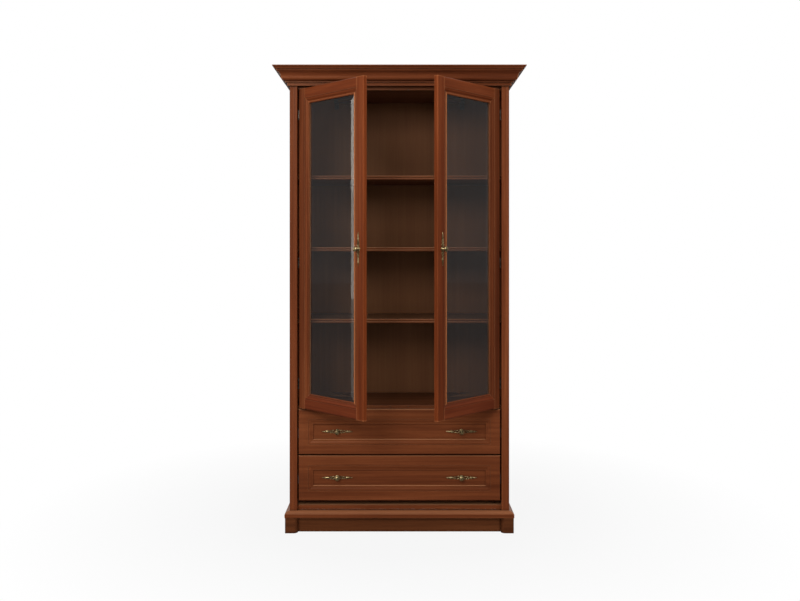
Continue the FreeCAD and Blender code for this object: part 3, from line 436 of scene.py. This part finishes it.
def dress_boards():
    for seed, (name, colours, grain, arris) in enumerate(BOARDS):
        look = {"stain": GROOVE_SHADE_OF.get(colours, BOARD_GROOVE_SHADE), "plain": "back_panel" in name}
        if "base_moulding" in name or "shelf" in name:
            look["ledge"] = MOULDED_SLOPE_HIGHLIGHT
        if "shelf" in name:
            look["tops"] = SHELF_TOP_SHADE
        if name == "middle_panel":
            look["tops"] = MIDDLE_TOP_SHADE
        if name == "bottom_panel":
            look.update(stain=BOTTOM_GROOVE_SHADE, ledge=BOTTOM_SLOPE_HIGHLIGHT)
        dress(name, wood(name, colours, grain, seed, **look), arris)


# How wide the painted highlights along the arrises of a door's mouldings are.
STILE_HIGHLIGHT = 0.0065
HINGE_HIGHLIGHT = 0.003        # less than the wood in front of a hinge's notch
RAIL_HIGHLIGHT = 0.0045
# Part of a door's frame, colours, grain direction (None runs across the door), width of its painted arris
# highlight, and seed.
DOOR_WOOD = (
    ("hinge_stile", CHERRY, "z", HINGE_HIGHLIGHT, 100),
    ("free_stile", CHERRY_WARM, "z", STILE_HIGHLIGHT, 100),
    ("top_rail", CHERRY_WARM, None, RAIL_HIGHLIGHT, 200),
    ("bottom_rail", CHERRY_RED, None, RAIL_HIGHLIGHT, 200),
)
BEAD_SEED = 300
# The right pane is painted a little darker than the left: painted shade.
PANE_SHADE_FACTOR = {"left": 1.0, "right": 0.9}


def dress_doors():
    for _, word in SIDES:
        for part, colours, grain, reach, seed in DOOR_WOOD:
            name = f"door_{word}_{part}"
            foil = wood(name, colours, grain or word, seed + len(name), reach=reach, coat=0.0)
            dress(name, foil)
        name = f"door_{word}_glass_beads"
        dress(name, wood(name, CHERRY_INSIDE, "z", BEAD_SEED), BOARD_ARRIS)
        dress(f"door_{word}_glass", clear_glass(f"clear_glass_{word}", PANE_SHADE_FACTOR[word]))


DRAWER_SEED = 400
# Part of a drawer, colours, grain direction, arris, and its painted shade and highlight.
DRAWER_WOOD = (
    ("front", CHERRY_FRONT, "x", 0, {"stain": FOIL_GROOVE_SHADE, "ledge": 0.5}),
    ("sides", BOX_BROWN, "y", BOARD_ARRIS, {"stain": 0.0}),
    ("back", BOX_BROWN, "x", BOARD_ARRIS, {"stain": 0.0}),
    ("bottom", BACK_BROWN, "x", 0, {"stain": 0.0}),
)


def dress_drawers():
    for count, word in enumerate(("lower", "upper")):
        for part, colours, grain, arris, look in DRAWER_WOOD:
            name = f"drawer_{word}_{part}"
            seed = DRAWER_SEED + 10 * count + len(part)
            dress(name, wood(name, colours, grain, seed, **look), arris)


def dress_metal():
    nickel = metal("nickel", (0.09, 0.08, 0.07), (0.26, 0.23, 0.195), 0.36, 1, 60.0)
    zinc = metal("zinc_steel", (0.25, 0.25, 0.25), (0.5, 0.5, 0.49), 0.38, 2, 30.0)
    brass = metal("antique_brass", (0.045, 0.03, 0.01), (0.76, 0.58, 0.29), 0.31, 3, 120.0)
    for name in ("shelf_pins", "hinge_arms", "hinge_plates", "door_left_hinges",
                 "door_right_hinges"):
        dress(name, nickel, METAL_ARRIS)
    dress("wall_brackets", brown_paint("brown_paint"), METAL_ARRIS)
    for name in ("cabinet_runners", "drawer_lower_runners", "drawer_upper_runners"):
        dress(name, zinc, METAL_ARRIS)
    dress("door_bumpers", soft_stop("soft_stop"))
    return nickel, brass


# ---------------------------------------------------------------- mesh helpers
def finished(name, shell, material, body, smooth_angle):
    """Turn a bmesh into a piece that rides on a body."""
    bmesh.ops.remove_doubles(shell, verts=shell.verts, dist=0.000002)
    bmesh.ops.recalc_face_normals(shell, faces=shell.faces)
    mesh = bpy.data.meshes.new(name)
    shell.to_mesh(mesh)
    shell.free()
    piece = bpy.data.objects.new(name, mesh)
    bpy.context.scene.collection.objects.link(piece)
    mesh.shade_smooth()
    mesh.set_sharp_from_angle(angle=math.radians(smooth_angle))
    mesh.materials.append(material)
    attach(piece, body)
    return piece


def skin(shell, rings):
    """Faces between closed rings of the same length, with a cap at each end."""
    around = len(rings[0])
    for low, high in zip(rings, rings[1:]):
        for step in range(around):
            following = (step + 1) % around
            shell.faces.new((low[step], low[following], high[following], high[step]))
    shell.faces.new(rings[0][::-1])
    shell.faces.new(rings[-1])


def lathe(shell, matrix, profile, steps=40):
    """Turn (radius, height) points about the -Y axis of a local frame, closed at both ends."""
    rings = []
    for radius, height in profile:
        ring = []
        for step in range(steps):
            angle = 2 * math.pi * step / steps
            spot = Vector((radius * math.cos(angle), -height, radius * math.sin(angle)))
            ring.append(shell.verts.new(matrix @ spot))
        rings.append(ring)
    skin(shell, rings)


STRAND_STEPS = 10


def strand(shell, matrix, points, width, height):
    """Rounded wire through (u, v, lift) points on a plate: flat at the back, tapered ends."""
    rings = []
    last = len(points) - 1
    for index, (u, v, lift) in enumerate(points):
        before, after = points[max(index - 1, 0)], points[min(index + 1, last)]
        along = Vector((after[0] - before[0], after[1] - before[1], 0)).normalized()
        across = Vector((-along.y, along.x, 0))
        taper = min(1.0, 0.35 + 2.6 * min(index, last - index) / last)
        ring = []
        for step in range(STRAND_STEPS):
            angle = math.pi * step / (STRAND_STEPS - 1)
            side = math.cos(angle) * width * taper
            rise = lift + math.sin(angle) * height * taper
            spot = Vector((u + across.x * side, -rise, v + across.y * side))
            ring.append(shell.verts.new(matrix @ spot))
        rings.append(ring)
    skin(shell, rings)


LEAF_LONG, LEAF_WIDE = 36, 12        # steps along a leaf and across it
LEAF_THINNEST = 0.00012


def leaf_blade(shell, matrix, root, tip, half_width, side):
    """Pointed leaf with lobed edges, a raised middle vein and hollows between side veins."""
    rows, backs = [], []
    for count in range(LEAF_LONG + 1):
        t = count / LEAF_LONG
        outline = math.sin(math.pi * t ** 0.72) ** 0.85 if 0 < t < 1 else 0.0
        lobes = 1 + 0.16 * math.cos(2 * math.pi * 4.5 * t)
        half = max(half_width * outline * lobes * (1 - 0.25 * t), LEAF_THINNEST)
        u = side * (root + (tip - root) * t)
        row = []
        for step in range(LEAF_WIDE + 1):
            w = 2 * step / LEAF_WIDE - 1
            crown = 0.0007 + 0.0011 * (1 - w * w)
            vein = 0.0009 * math.exp(-((w / 0.14) ** 2))
            ribs = 0.00045 * abs(w) * math.cos(2 * math.pi * (9 * t - 1.1 * abs(w)))
            ends = 0.45 + 0.55 * min(1.0, 6 * outline * (1 - t) + 0.1)
            rise = (crown + vein + ribs) * ends
            row.append(shell.verts.new(matrix @ Vector((u, -rise, w * half))))
        rows.append(row)
    for count in range(LEAF_LONG + 1):
        u = side * (root + (tip - root) * count / LEAF_LONG)
        backs.append(shell.verts.new(matrix @ Vector((u, 0, 0))))
    for count in range(LEAF_LONG):
        row, following = rows[count], rows[count + 1]
        for step in range(LEAF_WIDE):
            shell.faces.new((row[step], following[step], following[step + 1], row[step + 1]))
        for edge in (0, LEAF_WIDE):
            shell.faces.new((row[edge], following[edge], backs[count + 1], backs[count]))
    for count in (0, LEAF_LONG):
        for step in range(LEAF_WIDE):
            shell.faces.new((rows[count][step], rows[count][step + 1], backs[count]))


def bead(shell, matrix, u, v, radius, rise):
    """Half-round bead standing on the plate."""
    steps = 6
    profile = [(radius, 0.0)]
    for step in range(1, steps + 1):
        angle = math.pi / 2 * step / steps
        reach = max(radius * math.cos(angle), radius * 0.04)
        profile.append((reach, radius * rise * math.sin(angle)))
    lathe(shell, matrix @ Matrix.Translation((u, 0, v)), profile, 16)


# A screw's head and its cross recess, as shares of its radius and of its rise.
SCREW_HEAD = ((1.0, 0.0), (1.0, 0.35), (0.93, 0.62), (0.8, 0.82), (0.64, 0.95))
SCREW_RECESS = ((1.0, 1.0), (0.8, 0.45), (0.45, 0.3))
RECESS_ARM, RECESS_WAIST = 0.56, 0.17
SHANK_SHARE = 0.48
SCREW_STEPS = 32


def cross_screw(shell, matrix, radius, rise, shank=0.0):
    """Domed head with a cross recess, standing on the local XZ plane and facing its -Y side."""
    steps = SCREW_STEPS
    outlines = [[(radius * out, rise * up)] * steps for out, up in SCREW_HEAD]
    arms = [RECESS_ARM if step % 8 in (0, 1, 7) else RECESS_WAIST for step in range(steps)]
    for share, up in SCREW_RECESS:
        outlines.append([(radius * arm * share, rise * up) for arm in arms])
    if shank:
        outlines.insert(0, [(radius * SHANK_SHARE, 0.0)] * steps)
        outlines.insert(0, [(radius * SHANK_SHARE, -shank)] * steps)
    rings = []
    for outline in outlines:
        ring = []
        for step, (out, up) in enumerate(outline):
            angle = 2 * math.pi * step / steps
            spot = Vector((out * math.cos(angle), -up, out * math.sin(angle)))
            ring.append(shell.verts.new(matrix @ spot))
        rings.append(ring)
    skin(shell, rings)


def box_of(spots):
    """Lowest and highest corner round some points."""
    return tuple(Vector([pick(s[axis] for s in spots) for axis in range(3)]) for pick in (min, max))


def islands(name, matrix=Matrix.Identity(4)):
    """Lowest and highest corner of each separate solid of a CAD node, in a local frame."""
    shell = bmesh.new()
    shell.from_mesh(NODES[name].data)
    bmesh.ops.remove_doubles(shell, verts=shell.verts, dist=WELD)
    back = matrix.inverted()
    left = set(shell.verts)
    boxes = []
    while left:
        group = {left.pop()}
        edge = list(group)
        while edge:
            near = {link.other_vert(spot) for spot in edge for link in spot.link_edges} - group
            group |= near
            edge = list(near)
        left -= group
        boxes.append(box_of([back @ spot.co for spot in group]))
    shell.free()
    return sorted(boxes, key=lambda box: (round(box[0].x, 4), round(box[0].z, 4)))


def local_box(name, matrix):
    """Corners of a CAD node in a local frame."""
    back = matrix.inverted()
    return box_of([back @ vertex.co for vertex in NODES[name].data.vertices])


def door_frame(word):
    """Local frame of an open door: the origin on its pivot, X and Z in its plane."""
    return Matrix.Translation(PIVOT[word]) @ Matrix.Rotation(DOOR_TURN[word], 4, "Z")


# ---------------------------------------------------------------- fittings
ARM_COVER = 0.008              # thickness of a hinge arm beside its block
ARM_SCREWS = (0.010, 0.034)    # from the arm's rear end
BLOCK_SCREWS = 0.016           # above and below the middle of a block
CUP_RADIUS = 0.0175
CUP_LEAST_DEPTH = 0.008        # nothing else in a cup's node is as deep as this
FLANGE_WIDTH = 0.0022
FLANGE_THICK = 0.0012
FLANGE_STEPS = 72
FLANGE_OPENING = math.radians(52)
EAR_REACH = 0.0265             # from a cup's axis to the end of an ear
EAR_SCREWS = 0.0225
EAR_SPREAD = 17                # half the angle that an ear takes, in degrees
BRACKET_THICK = 0.002
# Radius and rise of each screw's head.
BRACKET_SCREW = (0.006, 0.003)
ARM_SCREW = (0.0034, 0.0011)
BLOCK_SCREW = (0.0036, 0.0012)
EAR_SCREW = (0.0032, 0.0009)
PULL_SCREW = (0.0045, 0.0024)
SCREW_SMOOTH = 30              # in degrees


def facing(spot, side):
    """Local frame at a spot on the right or left, facing the middle of the case."""
    return Matrix.Translation(spot) @ Matrix.Rotation(-side * math.pi / 2, 4, "Z")


def make_bracket_screws(steel):
    """Wall screws through the two brackets, as long as the bracket and the back are thick."""
    mounts = RECORD["mounts"]
    level = next(mount["pos_m"][2] for mount in mounts if mount["name"] == "wall_screws")
    for count, (low, high) in enumerate(islands("wall_brackets")):
        metal_face = high.y - BRACKET_THICK
        shell = bmesh.new()
        spot = Matrix.Translation(((low.x + high.x) / 2, metal_face, level))
        cross_screw(shell, spot, *BRACKET_SCREW, -metal_face)
        name = f"bracket_screw_{count + 1}"
        finished(name, shell, steel, "cabinet", SCREW_SMOOTH)


def make_hinge_screws(steel):
    for count, (low, high) in enumerate(islands("hinge_arms")):
        side = 1 if low.x > 0 else -1
        outer = high.x if side > 0 else low.x
        shell = bmesh.new()
        for back in ARM_SCREWS:
            spot = (outer - side * ARM_COVER, high.y - back, (low.z + high.z) / 2)
            cross_screw(shell, facing(spot, side), *ARM_SCREW)
        name = f"hinge_arm_screws_{count + 1}"
        finished(name, shell, steel, "cabinet", SCREW_SMOOTH)
    for count, (low, high) in enumerate(islands("hinge_plates")):
        side = 1 if low.x > 0 else -1
        inner = low.x if side > 0 else high.x
        shell = bmesh.new()
        for way in (-1, 1):
            spot = (inner, (low.y + high.y) / 2, (low.z + high.z) / 2 + way * BLOCK_SCREWS)
            cross_screw(shell, facing(spot, side), *BLOCK_SCREW)
        name = f"hinge_block_screws_{count + 1}"
        finished(name, shell, steel, "cabinet", SCREW_SMOOTH)


def make_cup_flange(name, matrix, side, steel, body):
    """Thin flange round a hinge cup, open towards the door's edge for the arm, with two ears."""
    shell = bmesh.new()
    rim = CUP_RADIUS + FLANGE_WIDTH
    rings = []
    for step in range(FLANGE_STEPS + 1):
        angle = FLANGE_OPENING + (2 * math.pi - 2 * FLANGE_OPENING) * step / FLANGE_STEPS
        aside = math.degrees(abs(abs(angle - math.pi) - math.pi / 2))
        ear = math.exp(-((aside / EAR_SPREAD) ** 4))
        outer = rim + (EAR_REACH - CUP_RADIUS - FLANGE_WIDTH) * ear
        ring = []
        for reach, rise in (
            (CUP_RADIUS - 0.0010, 0.0),
            (CUP_RADIUS - 0.0010, FLANGE_THICK * 0.7),
            (CUP_RADIUS - 0.0006, FLANGE_THICK),
            (outer - 0.0004, FLANGE_THICK),
            (outer, FLANGE_THICK * 0.7),
            (outer, 0.0),
        ):
            spot = Vector((side * reach * math.cos(angle), -rise, reach * math.sin(angle)))
            ring.append(shell.verts.new(matrix @ spot))
        rings.append(ring)
    skin(shell, rings)
    for way in (-1, 1):
        seat = matrix @ Matrix.Translation((0, -FLANGE_THICK, way * EAR_SCREWS))
        cross_screw(shell, seat, *EAR_SCREW)
    finished(name, shell, steel, body, SCREW_SMOOTH)


def make_hinge_flanges(steel):
    turned = Matrix.Rotation(math.pi, 4, "Z")
    for side, word in SIDES:
        door = door_frame(word)
        rear = local_box(f"door_{word}_hinge_stile", door)[1].y
        boxes = islands(f"door_{word}_hinges", door)
        cups = [box for box in boxes if box[1].y - box[0].y > CUP_LEAST_DEPTH]
        for count, (low, high) in enumerate(cups):
            outer = low.x if side > 0 else high.x
            centre = Vector((outer + side * CUP_RADIUS, rear, (low.z + high.z) / 2))
            seat = door @ Matrix.Translation(centre) @ turned
            name = f"door_{word}_cup_flange_{count + 1}"
            make_cup_flange(name, seat, -side, steel, f"door_{word}")


# ---------------------------------------------------------------- handles
PLATE_REACH = 0.070      # from the knob's axis to a leaf tip
KNOB_STAND = 0.024
LOOPS = ((0.0105, 0.0235, 0.0066), (0.0235, 0.0355, 0.0050))   # start, end and half height
LOOP_STEPS, CURL_STEPS, SPUR_STEPS, KNOB_STEPS = 24, 21, 12, 56
PLATE_SMOOTH, KNOB_SMOOTH, PULL_SCREW_SMOOTH = 50, 60, 40      # in degrees
BOSS_BEADS = 20
BOSS_RING = 0.0098
SIDE_BEADS = 0.0042      # above and below the middle, between the loops
# Radius of each bead, and how high it stands for its radius.
BOSS_BEAD, JOIN_BEAD, SIDE_BEAD = (0.0011, 2.0), (0.0021, 1.15), (0.0013, 1.2)
# Half width and height of each wire.
LOOP_WIRE, CURL_WIRE, SPUR_WIRE = (0.00125, 0.0016), (0.00065, 0.0012), (0.0009, 0.0013)
LEAF_HALF = 0.0043
HEAD_TALL = 0.0025       # of the screw in a handle of the CAD
# Radius and height of each point of a knob and of the boss below it.
KNOB_PROFILE = (
    (0.0070, 0.0018), (0.0072, 0.0028), (0.0064, 0.0036), (0.0058, 0.0039), (0.0060, 0.0045),
    (0.0054, 0.0052), (0.0043, 0.0064), (0.0038, 0.0082), (0.0037, 0.0098), (0.0041, 0.0114),
    (0.0052, 0.0130), (0.0070, 0.0146), (0.0090, 0.0158), (0.0104, 0.0167), (0.0110, 0.0177),
    (0.0110, 0.0185), (0.0105, 0.0193), (0.0098, 0.0198), (0.0093, 0.0197), (0.0090, 0.0202),
    (0.0083, 0.0212), (0.0070, 0.0223), (0.0056, 0.0231), (0.0040, 0.0237), (0.0020, 0.02395),
    (0.0003, 0.0240),
)
BOSS_PROFILE = (
    (0.0110, 0.0), (0.0111, 0.0009), (0.0107, 0.0016), (0.0101, 0.0019), (0.0095, 0.0016),
    (0.0092, 0.0012), (0.0084, 0.0014), (0.0078, 0.0020), (0.0070, 0.0022), (0.0020, 0.0022),
)


def loop_strands(shell, matrix, side, way, start, end, half):
    """One side of a loop, and the curl inside it."""
    route = []
    for count in range(LOOP_STEPS + 1):
        t = count / LOOP_STEPS
        u = side * (start - 0.0012 + (end - start + 0.0024) * t)
        v = way * half * math.sin(math.pi * (t * 1.16 - 0.08))
        route.append((u, v, 0.0002 + 0.0005 * (1 + way) * abs(math.cos(math.pi * t))))
    strand(shell, matrix, route, *LOOP_WIRE)
    middle = side * ((start + end) / 2 - 0.0004)
    curl = []
    for count in range(CURL_STEPS + 1):
        t = count / CURL_STEPS
        angle = math.pi * (0.1 + 1.7 * t)
        radius = half * (0.42 - 0.3 * t)
        u = middle + side * radius * math.cos(angle) * 1.5
        v = way * (half * 0.42 + radius * math.sin(angle) * 0.9)
        curl.append((u, v, 0.0003))
    strand(shell, matrix, curl, *CURL_WIRE)


def make_plate(name, matrix, material, body):
    """Openwork plate: a beaded boss, crossed strands with curls and beads, and two leaves."""
    shell = bmesh.new()
    lathe(shell, matrix, BOSS_PROFILE)
    for count in range(BOSS_BEADS):
        angle = 2 * math.pi * count / BOSS_BEADS
        spot = BOSS_RING * math.cos(angle), BOSS_RING * math.sin(angle)
        bead(shell, matrix, *spot, *BOSS_BEAD)
    for side in (-1, 1):
        for start, end, half in LOOPS:
            for way in (-1, 1):
                loop_strands(shell, matrix, side, way, start, end, half)
            bead(shell, matrix, side * end, 0, *JOIN_BEAD)
        for way in (-1, 1):
            bead(shell, matrix, side * LOOPS[0][1], way * SIDE_BEADS, *SIDE_BEAD)
        leaf_blade(shell, matrix, LOOPS[1][1] - 0.0006, PLATE_REACH, LEAF_HALF, side)
        for way in (-1, 1):
            spur = []
            for t in (count / SPUR_STEPS for count in range(SPUR_STEPS + 1)):
                u = side * (0.0365 + 0.0075 * t)
                spur.append((u, way * (0.0006 + 0.0058 * t ** 0.6), 0.0002))
            strand(shell, matrix, spur, *SPUR_WIRE)
    return finished(name, shell, material, body, PLATE_SMOOTH)


def make_pull(name, matrix, leaf, material, steel, body, node):
    """Plate, knob and the screw's head behind the leaf, in place of a handle of the CAD."""
    plate = make_plate(f"{name}_plate", matrix, material, body)
    shell = bmesh.new()
    lathe(shell, matrix, KNOB_PROFILE, KNOB_STEPS)
    knob = finished(f"{name}_knob", shell, material, body, KNOB_SMOOTH)
    shell = bmesh.new()
    behind = matrix @ Matrix.Translation((0, leaf, 0)) @ Matrix.Rotation(math.pi, 4, "X")
    cross_screw(shell, behind, *PULL_SCREW)
    screw = finished(f"{name}_screw", shell, steel, body, PULL_SCREW_SMOOTH)
    for piece, name_of_slot in (
        (plate, "antique_brass"), (knob, "antique_brass"), (screw, "nickel_steel"),
    ):
        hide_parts(node)


def make_pulls(brass, steel):
    for word in ("lower", "upper"):
        node = f"drawer_{word}_handles"
        low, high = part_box(node)
        for side, side_word in SIDES:
            spot = (side * (high.x - PLATE_REACH), low.y + KNOB_STAND, (low.z + high.z) / 2)
            name = f"drawer_{word}_pull_{side_word}"
            behind = high.y - spot[1] - HEAD_TALL
            matrix = Matrix.Translation(spot)
            make_pull(name, matrix, behind, brass, steel, f"drawer_{word}", node)
    for side, word in SIDES:
        node = f"door_{word}_handle"
        door = door_frame(word)
        low, high = local_box(node, door)
        spot = ((low.x + high.x) / 2, low.y + KNOB_STAND, (low.z + high.z) / 2)
        matrix = door @ Matrix.Translation(spot) @ Matrix.Rotation(math.pi / 2, 4, "Y")
        behind = high.y - spot[1] - HEAD_TALL
        make_pull(f"door_{word}_pull", matrix, behind, brass, steel, f"door_{word}", node)


# ---------------------------------------------------------------- studio
FLOOR_HALF = 30.0
# Strength of the world from below and above, and as mirrored from the front and the rear.
ROOM = (0.28, 1.0)
MIRRORED_ROOM = (0.2, 1.0)
REAR_SPAN = (0.25, 0.95)
LAMPS = (
    # name, place, aim, size, power, met by mirrored rays. A closed pane would mirror the fill
    # and the low one as bright squares.
    ("key", (-1.5, -4.7, 3.0), (0, -0.3, 1.4), (1.6, 1.6), 110, True),
    ("fill", (2.4, -4.6, 1.8), (0, -0.2, 1.3), (1.6, 1.6), 31, False),
    ("top", (-0.3, -2.4, 4.2), (0, -0.3, 1.0), (2.4, 1.0), 30, True),
    ("low", (-0.2, -4.8, 0.35), (0, -0.4, 0.2), (1.4, 0.5), 11, False),
)
# Tall softbox on the left, dimmer towards the floor, that the bevel of the left pane mirrors:
# bottom, top and power of each part.
STRIPS = ((0.15, 0.885, 0.42), (0.885, 1.66, 1.4), (1.66, 2.35, 1.9))
STRIP_PLACE = (-3.0, -0.52)
STRIP_WIDTH = 0.2
STRIP_COLOUR = (1.0, 0.92, 0.83)


def lamp(name, place, aim, size, power, glossy=True, colour=(1, 1, 1)):
    data = bpy.data.lights.new(name, "AREA")
    data.shape = "RECTANGLE"
    data.size, data.size_y = size
    data.energy = power
    data.color = colour
    item = bpy.data.objects.new(name, data)
    bpy.context.scene.collection.objects.link(item)
    item.location = place
    item.rotation_euler = (Vector(aim) - Vector(place)).to_track_quat("-Z", "Y").to_euler()
    item.visible_camera = False
    item.visible_transmission = False
    item.visible_glossy = glossy


def make_world():
    """White room for the camera, dimmer for what it lights and dimmer still for mirrors."""
    world = bpy.data.worlds.new("studio")
    bpy.context.scene.world = world
    g = Graph(world)
    way = g.add("SeparateXYZ", {"Vector": g.add("TexCoord").outputs["Generated"]}).outputs
    above = g.spread(way["Z"], 0.0, 1.0, *ROOM)
    rear = g.spread(way["Y"], *REAR_SPAN, *MIRRORED_ROOM)
    room, mirrored, white = (
        g.add("Background", {"Color": WHITE, "Strength": strength})
        for strength in (above, rear, 1.0)
    )
    seen, reflected = sight(g)
    around = g.mix_shaders(reflected, room, mirrored)
    whole = g.mix_shaders(seen, around, white)
    g.add("OutputWorld", {"Surface": whole.outputs[0]})


def make_studio():
    half = FLOOR_HALF
    mesh = bpy.data.meshes.new("floor")
    corners = [(-half, -half, 0), (half, -half, 0), (half, half, 0), (-half, half, 0)]
    mesh.from_pydata(corners, [], [(0, 1, 2, 3)])
    floor = bpy.data.objects.new("floor", mesh)
    bpy.context.scene.collection.objects.link(floor)
    mesh.materials.append(pale_floor("pale_floor"))
    make_world()
    for settings in LAMPS:
        lamp(*settings)
    for count, (bottom, top, power) in enumerate(STRIPS):
        spot = Vector((*STRIP_PLACE, (bottom + top) / 2))
        aim = spot + Vector((1, 0, 0))
        size = (STRIP_WIDTH, top - bottom)
        lamp(f"strip_{count}", spot, aim, size, power, colour=STRIP_COLOUR)


CAMERA_PLACE = (0, -4.404, 1.239)
PICTURE_WIDTH = 800             # in pixels, as are the focal length and the shift
FOCAL_LENGTH = 914
SHIFT = (0.6, -50.5)
SENSOR = 36


def make_camera():
    """Level camera in front of the case. Its horizon lies above the middle of the picture."""
    data = bpy.data.cameras.new("camera")
    data.sensor_width = SENSOR
    data.lens = SENSOR * FOCAL_LENGTH / PICTURE_WIDTH
    data.shift_x = SHIFT[0] / PICTURE_WIDTH
    data.shift_y = SHIFT[1] / PICTURE_WIDTH
    data.clip_end = 100
    camera = bpy.data.objects.new("camera", data)
    bpy.context.scene.collection.objects.link(camera)
    camera.location = CAMERA_PLACE
    camera.rotation_euler = (math.pi / 2, 0, 0)
    bpy.context.scene.camera = camera


bpy.context.scene.view_settings.view_transform = "Standard"
dress_boards()
dress_doors()
dress_drawers()
nickel_finish, brass_finish = dress_metal()
make_pulls(brass_finish, nickel_finish)
make_bracket_screws(NODES["wall_brackets"].data.materials[0])
make_hinge_screws(nickel_finish)
make_hinge_flanges(nickel_finish)
make_studio()
make_camera()
